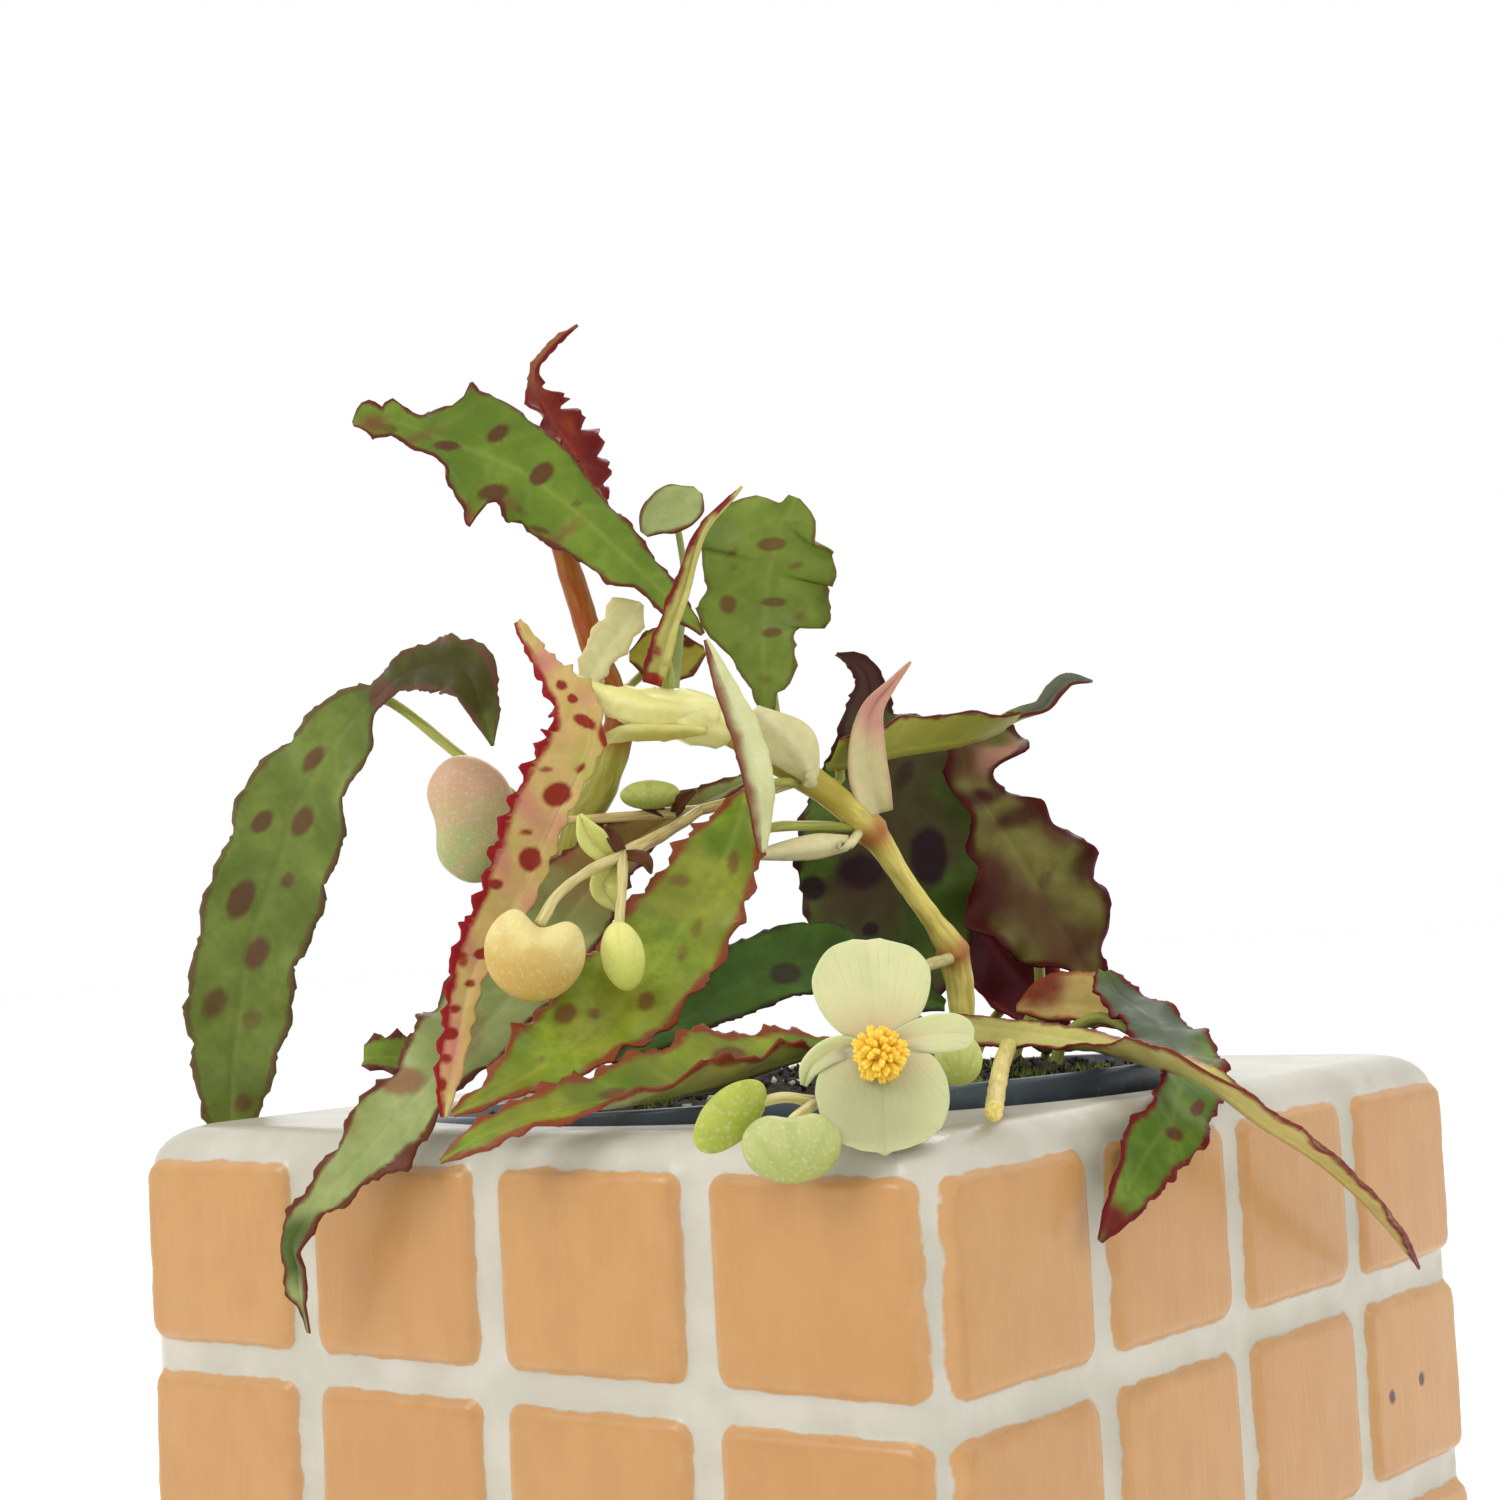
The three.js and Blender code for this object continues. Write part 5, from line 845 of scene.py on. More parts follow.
# What blade() takes for each leaf, its look, and its stalk: the share of the rib where it starts, its way and radii
LEAVES = {
    "leaf_top": dict(
        rib=[(-39.93, -17, 149.73, 0.3), (-38.65, -16.6, 150.02, 1.9), (-37.31, -16.1, 149.95, 1.3, 1.6),
          (-36.41, -15.7, 149.98, 2.1, 1.6), (-35.36, -15.1, 149.75, 1.5, 1.8), (-33.95, -14.4, 149.23, 1.8, 2.5),
          (-32.48, -13.3, 148.68, 3.4, 3.2), (-31.43, -12.6, 148.27, 4.6, 4.4), (-30.8, -12.3, 148, 7.4, 5.2),
          (-29.98, -12, 147.72, 6.8, 6), (-28.4, -11.6, 147.22, 6.9, 7), (-27.02, -11.2, 146.54, 6.8, 8),
          (-26.37, -11.1, 146.23, 6.6, 5.2), (-25.15, -10.9, 145.61, 6, 4.5), (-23.39, -10.6, 144.39, 5, 5.2),
          (-22.36, -10.6, 143.55, 4.5, 4.1), (-20.77, -10.7, 142.18, 3.9, 4.4), (-18.8, -11.1, 140.25, 3.2, 4.4),
          (-17.1, -11.7, 138.52, 2.8, 3.2), (-15.41, -12.4, 136.67, 2.5, 2.8), (-13.92, -13.1, 135.05, 2.1, 3.1),
          (-13.09, -13.4, 134.1, 1.9, 1.6), (-11.61, -14.3, 132.36, 1.6, 1.4), (-9.86, -15.5, 130.31, 1.1, 1.2),
          (-7.95, -17, 128.04, 0.35)], face=[(-0.2, -0.95, 0.3), NEAR_UP, NEAR_UP, NEAR_UP, (0.2, -0.9, 0.4)],
        fold=(10, 5, -8, 0, 20), wave=(0.6, 8.5, 0.4), teeth=(0.2, 3.4), frill=0.35, seed=4, look=leaf_green,
        dots=[(446, 447, 15, 5, 0, 0.9), (497, 435, 14, 7, 35, 0.9), (541, 475, 14, 9, 40, 1),
          (492, 494, 17, 9, 10, 0.8), (576, 505, 7, 4, 20, 0.5), (540, 531, 13, 4, -20, 0.6),
          (521, 512, 12, 5, -30, 0.4), (567, 552, 9, 4, -30, 0.5), (600, 571, 8, 3, -30, 0.5),
          (476, 408, 8, 5, 30, 0.35), (388, 430, 10, 5, -15, 0.5), (560, 440, 10, 5, -50, 0.5),
          (610, 505, 8, 4, -50, 0.4)],
        tints=[(478, 374, 16, 16, 0, 0.85), (460, 520, 14, 18, 0, 0.8), (372, 425, 16, 10, 0, 0.6),
          (505, 505, 14, 8, 0, 0.5), (545, 548, 44, 7, 35, 0.6), (415, 440, 26, 6, 25, 0.5)],
        stalk=(0.5, [(-22, -5.6, 141)], (0.9, 1.1))),
    "leaf_top_back": dict(
        rib=[(-19.5, 4, 163, 0.15), (-21.4, 3.4, 161.6, 0.3), (-22.8, 2.6, 160, 0.35),
          (-23.9, 1.8, 158.4, 0.35, 0.4), (-24, 1.2, 156.6, 0.7, 0.8), (-23.5, 0.8, 154.6, 1.9, 2.1),
          (-22.4, 1, 152.2, 2.8, 3.3), (-21, 1.2, 149.9, 3.1, 3.6), (-19.8, 1.4, 147.7, 3, 3.6),
          (-18.6, 1.6, 145.6, 2, 3), (-17.4, 1.8, 144.2, 0.5, 0.8)], face=[(0.5, -0.6, 0.4), (0.6, -0.4, 0.6)],
        fold=(10, 25), wave=(0.8, 3.1, 0), teeth=(1.0, 1.5), frill=1.6, seed=5, look=leaf_red,
        tints=[(550, 350, 30, 34, 0, 1)], seconds=[(567, 398, 9, 14, 0, 1), (575, 425, 12, 10, 0, 0.5)],
        margin=(1, 0.3), stalk=(0.96, [(-18.6, 0.4, 141.6), (-21, -4.6, 138.2)])),
    "leaf_left": dict(
        rib=[(-28, -18, 118.5, 0.15), (-29, -17, 122, 1.3, 1.4), (-30.6, -14.6, 125.8, 2.5, 2.3),
          (-33.6, -11, 127.2, 2.4, 2.1), (-37.5, -6.4, 126.8, 1.3, 1.5), (-40.5, -2, 125.4, 1.2, 1.3),
          (-44.5, 2, 122.5, 3.5, 3.3), (-50, 5, 115.5, 5.7, 5.5), (-53.5, 8, 108.5, 5.9, 5.6),
          (-57, 10, 100.5, 5.4, 5.3), (-58.5, 11, 93.5, 5, 4.9), (-59.5, 11, 87, 3.7, 3.5), (-60, 11, 80, 0.6)],
        face=[(0.4, -0.9, 0.1), (-0.2, -0.95, 0.1), (-0.5, -0.85, 0.15), (-0.1, -1, 0.1), (-0.1, -1, 0),
          (0, -1, 0.1)], fold=(12, 8, 10, 10, 8), wave=(1, 11, 1), teeth=(0.6, 5.2), scallop=True, frill=0.35,
        seed=8, look=leaf_arch,
        dots=[(315, 759, 17, 8, 50, 0.75), (263, 821, 15, 9, 50, 0.8), (304, 821, 17, 10, 60, 0.8),
          (289, 880, 10, 8, 60, 0.6), (241, 899, 21, 12, 60, 0.95), (258, 953, 18, 12, 60, 0.8),
          (215, 1003, 20, 13, 55, 0.6), (253, 1020, 15, 12, 60, 0.45), (244, 1102, 12, 10, 60, 0.6),
          (256, 788, 10, 6, 30, 0.35), (208, 932, 8, 8, 0, 0.3), (345, 770, 9, 5, 70, 0.3),
          (384, 694, 16, 12, 60, 1)], tints=[(447, 685, 68, 62, 0, 1)],
        stalk=(0.335, [(-32.5, -3, 118.5), (-27, -5, 114), (-22.2, -8.4, 110.8)])),
    "leaf_right_top": dict(
        rib=[(1.88, 3, 143.82, 0.61, 0.71), (1.3, 3.4, 142.47, 3.17, 1.6), (0.43, 3.9, 141.35, 5.01, 5),
          (-0.28, 4.5, 139.62, 5.94, 7.6), (-0.91, 5, 137.34, 6.67, 7.39), (-1.15, 5.2, 136.65, 5.95, 6.98),
          (-1.47, 5.5, 134.53, 6.16, 5.96), (-1.63, 5.7, 133.32, 6.58), (-1.8, 5.9, 132.01, 6.37, 6.99),
          (-1.94, 6, 131.3, 4.01, 6.38), (-2.02, 6, 129.85, 2.88, 5.35), (-2.11, 5.6, 128.06, 3.08, 3.39),
          (-2.11, 5.2, 126.26, 3.07, 2.36), (-2.09, 4.7, 124.67, 2.35, 1.53), (-2.12, 4.6, 124.05, 1.12, 1.33),
          (-2.02, 3.8, 122.03, 0.71, 0.61)], face=[(0, -0.9, 0.4), NEAR, (-0.1, -1, -0.1)], fold=(6, 0, 10),
        wave=(0.35, 8, 2), teeth=(0.25, 3), frill=0.3, seed=9, look=leaf_back,
        dots=[(772, 544, 15, 7, 5, 0.9), (797, 565, 10, 5, 20, 0.55), (728, 604, 9, 10, 45, 0.85),
          (774, 602, 14, 5, 0, 0.85), (732, 553, 10, 4, 40, 0.5), (735, 566, 9, 5, 30, 0.45),
          (772, 633, 12, 6, 5, 0.75), (802, 524, 10, 4, -15, 0.4), (800, 617, 9, 8, 0, 0.5),
          (765, 680, 10, 7, 0, 0.45), (826, 585, 6, 10, 0, 0.4), (702, 560, 5, 18, 0, 0.5),
          (822, 540, 8, 8, 0, 0.4)], tints=[(825, 600, 12, 34, 0, 0.35)],
        seconds=[(722, 535, 26, 16, 0, 0.22), (775, 622, 34, 14, 0, 0.2)],
        stalk=(0.62, [(-1, 7, 119.5), (0.2, -1, 115.6), (-0.4, -12.3, 115.5)], (0.55, 0.6))),
    "bract_pale": dict(
        rib=[(-13.3, -7.5, 139.2, 0.5), (-12.2, -7.4, 140.4, 1.9), (-10.5, -7.2, 141.4, 2.6),
          (-8.9, -7, 142.4, 2.2, 2.3), (-7.8, -6.7, 143.4, 0.6)], face=[(-0.1, -1, 0.3)], fold=(8, 8), frill=0.1,
        seed=10, look=leaf_soft,
        stalk=(0.55, [(-9.6, -5.4, 135), (-10.4, -8, 128), (-11, -14.8, 121.6)], (0.35, 0.4))),
    "leaf_upright": dict(
        rib=[(-12.6, -17.4, 123.4, 1.3, 1.2), (-11.2, -17.8, 127.4, 1.4, 1.3), (-9.1, -18, 132.6, 1.1, 1),
          (-7.3, -17, 137.8, 0.6), (-3.5, -15, 142.2, 0.15)], face=[(-0.3, -0.9, 0), (-0.5, -0.8, 0.1)],
        fold=(35, 45, 20), wave=(0.3, 6, 0), teeth=(0.2, 3), frill=0.3, seed=11, look=leaf_spine,
        tints=[(722, 505, 34, 12, -38, 1), (650, 690, 26, 12, 0, 0.9)],
        dots=[(657, 651, 5, 7, 0, 0.6), (650, 680, 13, 8, 0, 0.95), (668, 665, 5, 5, 0, 0.4)], margin=(1, 0.25),
        stalk=(0.1, [(-11.8, -16.4, 121.3)], (0.6, 0.7))),
    "leaf_cream": dict(
        rib=[(-25.5, -14, 130.5, 0.4), (-22.9, -17.5, 126, 0.9), (-19.5, -20.8, 121.8, 1.4, 2.4),
          (-18.4, -22.8, 118.3, 1, 3.8), (-22, -24.5, 111.2, 0.9, 3.9), (-25.3, -26.8, 104.2, 1.2, 3.3),
          (-29.2, -30.2, 98, 1, 1.8), (-30.2, -33.2, 93.6, 0.9, 1.3), (-30.9, -35.6, 89.6, 0.9, 1.2),
          (-31.6, -37.4, 85.6, 0.3)],
        face=[(-0.4, -0.9, 0.2), (-0.2, -1, 0.1), (0.1, -1, 0), (0, -1, 0.1), (-0.3, -0.9, 0.3)],
        fold=(10, 16, 16, 12, 16), wave=(0.4, 4.4, 0), teeth=(0.8, 2.6), frill=0.8, seed=12, look=leaf_cream,
        dots=[(557, 795, 15, 12, 10, 1), (530, 860, 12, 12, 45, 1), (586, 723, 13, 6, -25, 1),
          (580, 769, 8, 5, 30, 0.7), (482, 955, 9, 6, 0, 1), (525, 832, 8, 4, 0, 0.7), (545, 770, 9, 4, 0, 0.6),
          (450, 1035, 8, 6, 0, 1), (455, 1010, 6, 5, 0, 0.8), (609, 737, 9, 15, 15, 1), (574, 700, 6, 5, 0, 0.9),
          (563, 686, 7, 6, 0, 0.8), (495, 885, 8, 6, 0, 0.8), (470, 985, 7, 5, 0, 0.7), (505, 925, 8, 6, 0, 0.6),
          (462, 960, 7, 10, 0, 0.6), (446, 1060, 7, 6, 0, 0.7), (440, 1085, 7, 8, 0, 0.8)],
        tints=[(522, 800, 12, 50, 35, 0.7), (495, 850, 12, 44, 20, 0.7), (545, 665, 45, 14, 48, 0.7),
          (462, 930, 9, 50, 15, 0.6), (565, 735, 16, 12, 0, 0.4), (450, 1040, 14, 40, 0, 0.8),
          (560, 830, 14, 26, 30, 0.5), (585, 700, 14, 14, 0, 0.4), (530, 900, 12, 24, 20, 0.5)],
        seconds=[(590, 770, 14, 40, 25, 0.5)], margin=(0.25, 1), stalk=(0.22, [(-17.4, -18.6, 122.2)], (0.6, 0.7))),
    "leaf_front": dict(
        rib=[(-4.5, -19, 113, 0.6, 0.4), (-6.5, -22, 107.5, 2.8, 3.3), (-11, -26, 100.5, 4.5),
          (-16, -30, 94.6, 4.6, 4.9), (-21.5, -34.5, 90.3, 3.3, 4), (-26.5, -38, 87.6, 1.6, 1.8),
          (-30.5, -40.4, 86, 0.3)], face=[(0.1, -1, 0.2), (0, -0.95, 0.3), NEAR_UP, (0, -0.6, 0.8)],
        fold=(10, 14, 14, 10), wave=(0.9, 9, 0.6), teeth=(0.75, 3.6), frill=0.6, seed=13, look=leaf_bright,
        dots=[(733, 865, 16, 7, 80, 0.6), (679, 881, 15, 8, 0, 0.5), (697, 929, 13, 7, 75, 0.5),
          (683, 955, 13, 7, 75, 0.5), (647, 1003, 12, 10, 40, 0.7), (593, 1015, 8, 7, 0, 0.6),
          (565, 1015, 14, 11, 30, 0.75), (744, 810, 10, 5, 70, 0.3), (610, 960, 10, 7, 40, 0.35),
          (540, 1062, 9, 6, 40, 0.4), (690, 900, 8, 5, 0, 0.25)],
        stalk=(0.1, [(-2, -15.5, 109.6), (5.6, -8.9, 109.4)], (0.45, 0.55))),
    "leaf_over_left": dict(
        rib=[(-0.5, -5.5, 116, 0.4), (-5.5, -7, 114, 1.1), (-10, -9, 112, 1.4), (-15, -12, 109.3, 1.9, 2.2),
          (-19.5, -16, 105, 3.3, 4.4), (-24, -21, 98.7, 4.4, 6), (-28.5, -27, 93, 4.2, 5.4),
          (-33, -31.8, 88.6, 3.8, 3.9), (-36.6, -33, 85, 3.3), (-39.6, -32.8, 82, 2.8),
          (-42.2, -32.2, 79.6, 1.9, 2), (-43.9, -31.6, 78.1, 1.2), (-45, -31.2, 76.7, 1.6, 1.5),
          (-46.1, -30.6, 74.7, 1.9, 1.5), (-45.9, -30, 72.6, 1.5, 1.3), (-46, -29.4, 70.4, 1.3, 1.1),
          (-45.8, -29, 69.2, 0.4), (-45.5, -28.4, 66.7, 0.25)],
        face=[(0, -0.8, 0.7), (0, -0.9, 0.5), NEAR_UP, (-0.3, -0.8, 0.6), LEFT_FACE, LEFT_FACE],
        fold=(45, 20, 10, 12, 10, 30), wave=(0.8, 9.5, 0), teeth=(0.5, 4.4), frill=0.6, seed=14, look=leaf_soft,
        dots=[(559, 853, 16, 14, 0, 0.9), (474, 1037, 30, 13, 75, 0.45), (402, 1082, 26, 16, 0, 0.75),
          (352, 1120, 12, 22, 0, 0.4), (330, 1180, 14, 8, 40, 0.3)], tints=[(620, 845, 85, 55, 35, 0.85)],
        seconds=[(300, 1250, 30, 70, 90, 1)], lobes=[(0.73, -1, 1.7, 0.9)],
        stalk=(0.3, [(-20.8, -10.6, 104.6)], (0.55, 0.6))),
    "leaf_rim_front": dict(
        rib=[(3.5, -27, 89.6, 0.5), (-2, -31, 88.6, 2.8), (-8, -35.5, 87.2, 4, 4.8), (-14.8, -39.8, 86.4, 3.2, 3.8),
          (-20.8, -42.6, 86, 2, 2.2), (-26.8, -44, 84.6, 1.4), (-31.3, -43.8, 82.4, 0.25)],
        face=[UP, UP, UP, (0, -0.6, 0.8), (-0.3, -0.8, 0.5)], fold=(35, 45, 40, 18, 5), wave=(0.5, 8, 2),
        teeth=(0.8, 3), frill=0.6, seed=15, look=leaf_bright,
        dots=[(729, 1057, 17, 9, 0, 0.95), (612, 1095, 16, 6, 10, 0.7), (520, 1110, 10, 5, 0, 0.3),
          (760, 1026, 8, 5, 0, 0.4)], stalk=(0.1, [(8, -14, 87.2), (14, -1.4, 86.2)])),
    "leaf_low_dark": dict(
        rib=[(-18.5, -14, 88.3, 0.3), (-12.1, -8, 91.5, 2.2), (-4.2, -2, 95.6, 3.9, 3.7), (2.9, 2, 96.4, 3.7, 3.6),
          (9.4, 5, 93.6, 2.6), (14.5, 7.4, 91.2, 0.6)], face=[(0, -0.9, 0.45), (0, -0.9, 0.4)], fold=(10, 10),
        wave=(0.4, 11, 0), teeth=(0.25, 5), frill=0.3, seed=16, look=leaf_shade,
        dots=[(785, 975, 16, 11, 0, 0.9), (700, 1010, 14, 8, 0, 0.3)],
        stalk=(0.82, [(11.5, 7.8, 90), (14.2, 4.6, 88.4), (15.2, 1.3, 88.2)])),
    "leaf_dark_back": dict(
        rib=[(5.9, 24, 129.6, 0.3), (7.6, 23.4, 128.7, 0.8, 0.9), (9, 22.6, 127, 1.2, 1.5),
          (9.3, 22, 124.6, 1.6, 1.9), (9.2, 21.4, 122.2, 2.9, 3.4), (10.4, 20.5, 118.5, 6.2, 6.6),
          (11, 19.5, 110, 9.2, 10.2), (11, 19, 102.5, 8.8, 10), (11.5, 18.5, 96, 6.2, 7.6), (11, 18, 90.6, 1.6)],
        face=[(0.5, -0.9, 0.2), NEAR, (0, -1, 0.2), NEAR_UP], fold=(30, 10, 8, 12), wave=(1.1, 12, 1),
        teeth=(0.6, 4.6), frill=0.5, seed=17, look=leaf_night,
        dots=[(929, 857, 29, 18, 95, 1), (860, 872, 26, 20, 0, 0.75), (812, 888, 14, 13, 0, 0.9),
          (870, 930, 9, 7, 20, 0.9), (835, 735, 16, 10, 80, 0.6), (905, 775, 20, 10, 60, 0.5),
          (850, 800, 14, 9, 60, 0.5), (905, 950, 14, 9, 60, 0.5), (835, 955, 12, 8, 60, 0.6)],
        tints=[(858, 680, 34, 34, 0, 0.95), (845, 735, 20, 26, 0, 0.5), (860, 885, 26, 24, 0, 0.5)],
        stalk=(0.8, [(11, 23, 92), (10, 20, 86), (9, 17, 78)], (0.6, 0.7))),
    "leaf_olive_back": dict(
        rib=[(17, 12.5, 121, 2, 0.6), (17.4, 12.5, 119, 6.6, 1.6), (17.9, 12.3, 116.6, 7.6, 2.2),
          (18.5, 12, 114.4, 3, 2), (20, 11.5, 111.8, 3.2, 2.4), (22.8, 11, 106.8, 5.8, 5.2),
          (24.8, 10.5, 102.7, 6.8, 8.8), (27.3, 10, 98, 5.2, 6.5), (30.2, 9, 92.6, 1, 1.2), (31, 8.6, 91.4, 0.3)],
        face=[(0.5, -0.8, 0.3), (0.2, -0.9, 0.4), (0.1, -0.9, 0.5), (0.3, -0.8, 0.5)], fold=(20, 8, 12, 18),
        wave=(1.5, 6.4, 3), teeth=(0.6, 3.8), frill=0.3, seed=18, look=leaf_olive,
        dots=[(1045, 880, 12, 9, 60, 0.4), (1030, 930, 12, 9, 40, 0.3), (1075, 950, 10, 7, 30, 0.4)],
        tints=[(968, 905, 40, 46, -20, 1), (985, 795, 26, 12, 20, 0.8), (935, 760, 30, 12, 0, 0.9),
          (985, 738, 22, 7, -15, 0.8), (1040, 758, 9, 16, 0, 0.7), (1030, 812, 44, 12, 20, 0.8),
          (1088, 862, 14, 26, -20, 0.7), (1075, 960, 20, 26, 0, 0.4)], seconds=[(1000, 760, 34, 22, 0, 0.95)],
        stalk=(0.6, [(25, 14.5, 92), (22, 12, 86), (20, 9, 78)], (0.55, 0.65))),
    "leaf_red_low": dict(
        rib=[(17.5, 25, 104, 0.7), (20.5, 25, 98.5, 3.9), (23.4, 24, 94, 4.4, 4.8), (26.6, 22.4, 89.6, 2.6, 3.6),
          (28.4, 21.6, 87.4, 0.6, 0.8)], face=[NEAR, NEAR_UP], fold=(15, 15), wave=(0.6, 8, 0), teeth=(0.4, 4),
        frill=0.3, seed=19, look=leaf_wine, stalk=(0.66, [(21, 24, 89), (18, 21, 84), (16, 19, 78)])),
    "leaf_edge_on": dict(
        rib=[(3.4, -9.4, 115.2, 0.6, 3.2), (11, -1, 116.9, 1, 4.3), (17.5, 4, 118, 1.1, 4.4),
          (21.8, 7, 119.4, 1.1, 4), (22.6, 7.6, 119.9, 1.1, 1.5), (24.4, 8.3, 120.7, 1, 0.9), (26.4, 9, 121.3, 0.9),
          (28, 9.6, 123, 1.1, 0.9), (29.4, 10, 124.1, 0.9, 0.7), (32, 10, 124, 0.15)],
        face=[(0, -0.3, 0.95), (0, -0.3, 0.95), (0, -0.6, 0.8), (0.2, -0.9, 0.3)], fold=(62, 66, 50, 10),
        wave=(0.3, 9, 0), teeth=(0.1, 4.4), frill=0.12, seed=20, look=leaf_band,
        dots=[(900, 735, 4, 3, 0, 0.5), (940, 724, 4, 2, 0, 0.4), (1010, 714, 5, 2, 0, 0.9)],
        tints=[(915, 712, 26, 5, -5, 0.9), (995, 702, 16, 5, 5, 0.8)],
        seconds=[(1066, 690, 60, 30, 10, 1), (985, 736, 62, 7, -17, 1)], margin=(0.2, 1),
        stalk=(0.05, [(1.6, -10.9, 113.6)])),
    "leaf_yellow_low": dict(
        rib=[(21.4, 2.4, 90.6, 0.6, 0.4), (24, 2.6, 90.7, 2.8, 1.5), (26.8, 2.6, 90.7, 3.6, 1.8),
          (30, 2.4, 90, 3.2, 2), (32.6, 1, 88.4, 0.8, 0.6)], face=[(0, -0.8, 0.6), (0, -0.9, 0.4)], fold=(10, 10),
        wave=(0.3, 5, 0), teeth=(0.1, 3), seed=21, look=leaf_tan, tints=[(1040, 985, 26, 26, 0, 0.9)],
        stalk=(0.4, [(22, 4.8, 88), (20.6, 5.2, 78)], (0.45, 0.5))),
    "leaf_low_right": dict(
        rib=[(21.4, 7.6, 88.4, 0.5), (24.8, 7.4, 87, 1.6, 1.4), (28.4, 6.4, 86.4, 0.4)], face=[(0.1, -0.8, 0.6)],
        fold=(12,), wave=(0.3, 5, 0), teeth=(0.3, 3), seed=22, look=leaf_shade,
        stalk=(0.5, [(24.4, 9, 84.6), (24.4, 9.4, 78)], (0.45, 0.5))),
    "leaf_long_right": dict(
        rib=[(11.6, -3.4, 89.9, 0.3), (13.6, -5, 90, 0.9, 2.4), (18.6, -9, 89.2, 1.3, 3),
          (23.2, -16, 88.5, 1.6, 3.2), (28.4, -27, 87.2, 1.6, 3.6), (33, -41.6, 85.4, 1.5, 3.3),
          (37.4, -38.4, 82, 1.3, 2.6), (44, -30.2, 77.6, 1.2, 2.4), (49.5, -22.4, 73, 1, 2),
          (54, -15.2, 68.4, 0.8, 1.3), (57.2, -9.4, 64.6, 0.2)],
        face=[(0, -0.8, 0.6), (0, -0.75, 0.65), (0.1, -0.6, 0.8), (0.3, -0.5, 0.8), (0.788, -0.3, 0.5),
          (0.788, -0.4, 0.4), (0.788, -0.616, 0.05)], fold=(8, 14, 34, 45, 40, 30), wave=(0.2, 9, 0),
        teeth=(0.12, 4.8), frill=0.2, seed=23, look=leaf_pale,
        dots=[(1130, 1033, 6, 3, -30, 0.5), (1180, 1070, 6, 3, -30, 0.4), (1240, 1110, 5, 3, -40, 0.4)],
        tints=[(1245, 1108, 60, 30, 0, 0.3), (1335, 1165, 60, 44, 0, 0.65), (1420, 1250, 40, 60, 0, 1)],
        seconds=[(1100, 1030, 34, 7, -18, 0.6), (1165, 1066, 34, 8, -28, 0.6), (1225, 1105, 30, 10, -33, 0.6)],
        stalk=(0.035, [(14.8, -1.2, 88.6)])),
    "leaf_hang_right": dict(
        rib=[(30.2, 1, 94, 0.8), (30.8, -3, 91.8, 1.9, 2.4), (32.8, -10, 89.6, 2.9, 3.4), (34, -18, 87.2, 3.4, 3.6),
          (33.3, -26, 85.4, 3.6, 2.4), (31.7, -33, 84.6, 3.6, 2), (29.6, -40.6, 82.2, 3.2, 2.6),
          (26.8, -45, 80.2, 2.8), (24.5, -49, 77.7, 2), (21.8, -52, 74.2, 0.3)],
        face=[(0.2, -0.8, 0.5), (0.2, -0.6, 0.8), (0.1, -0.5, 0.85), (0.5, -0.7, 0.5), (0.5, -0.85, 0.1),
          (0.5, -0.85, 0.1)], fold=(20, 8, 4, 10, 10, 14), wave=(0.5, 8, 1), teeth=(0.3, 3.2), frill=0.4, seed=24,
        look=leaf_glossy,
        dots=[(1196, 1110, 10, 7, 60, 0.8), (1172, 1135, 12, 7, -30, 0.7), (1140, 1110, 7, 12, 30, 0.6)],
        # The second patch greys and darkens the upper blade: painted sheen and shade.
        tints=[(1108, 1222, 18, 30, 40, 1), (1222, 1045, 16, 16, 0, 0.3)], seconds=[(1150, 1012, 62, 44, -25, 1)],
        stalk=(0.22, [(28.6, -4, 89.6), (25.2, -2.4, 87.4), (24, -2, 78)], (0.6, 0.65))),
    "leaf_pale_narrow": dict(
        rib=[(-7.5, -21.5, 127, 0.25), (-6, -22.6, 122.5, 1), (-4.2, -24.4, 117.5, 1.4), (-3.3, -25.6, 112.5, 1.3),
          (-3.4, -25.4, 107, 0.4)], face=[(0.2, -1, 0.1), (0.1, -1, 0), NEAR], fold=(10, 20, 15), wave=(0.2, 6, 0),
        teeth=(0.15, 3.4), frill=0.15, seed=25, look=papery_edged, margin=(0, 1),
        stalk=(0.68, [(-1.6, -19, 113.6), (0.2, -13.8, 113.8)], (0.35, 0.45))),
    "stipule_node": dict(
        rib=[(1.8, -14.6, 113.8, 0.8), (0, -17.4, 117, 2.5, 2.8), (-3.3, -19.2, 120.6, 0.4)], face=[(0, 1, 0.1)],
        fold=(15, 25), frill=0, seed=26, look=papery, stalk=(0.12, [(1.1, -12.8, 113.9)])),
    "stipule_pink": dict(
        rib=[(8.2, -9.6, 110.6, 1.1, 1.5), (7.4, -10, 113.2, 2, 2.2), (7.2, -10, 117, 1.9, 2),
          (7.9, -9.5, 120.6, 1.2, 1.3), (9.9, -8.6, 123, 0.6), (12.1, -7.6, 125.3, 0.15)],
        face=[(-0.2, -1, 0), (0.3, -1, 0)], fold=(25, 30, 40), frill=0, seed=27, look=papery_pink,
        tints=[(890, 690, 50, 30, 70, 1)], stalk=(0.06, [(6.9, -8.3, 109.8)], (0.45, 0.6))),
    "stipule_low": dict(
        rib=[(5, -12.2, 107.8, 0.8), (1.5, -14, 107.5, 1.3), (-4, -16.6, 107, 0.5)], face=[(0, 1, 0.2)],
        fold=(20, 25), frill=0, seed=28, look=papery, stalk=(0.12, [(6.2, -8.6, 109)], (0.45, 0.5))),
    "leaf_small_spot": dict(
        rib=[(-15.5, -4, 127.6, 0.6), (-13, -3.6, 127.4, 2.9), (-10.4, -3.6, 127.2, 2.7), (-8, -4, 127.8, 0.5)],
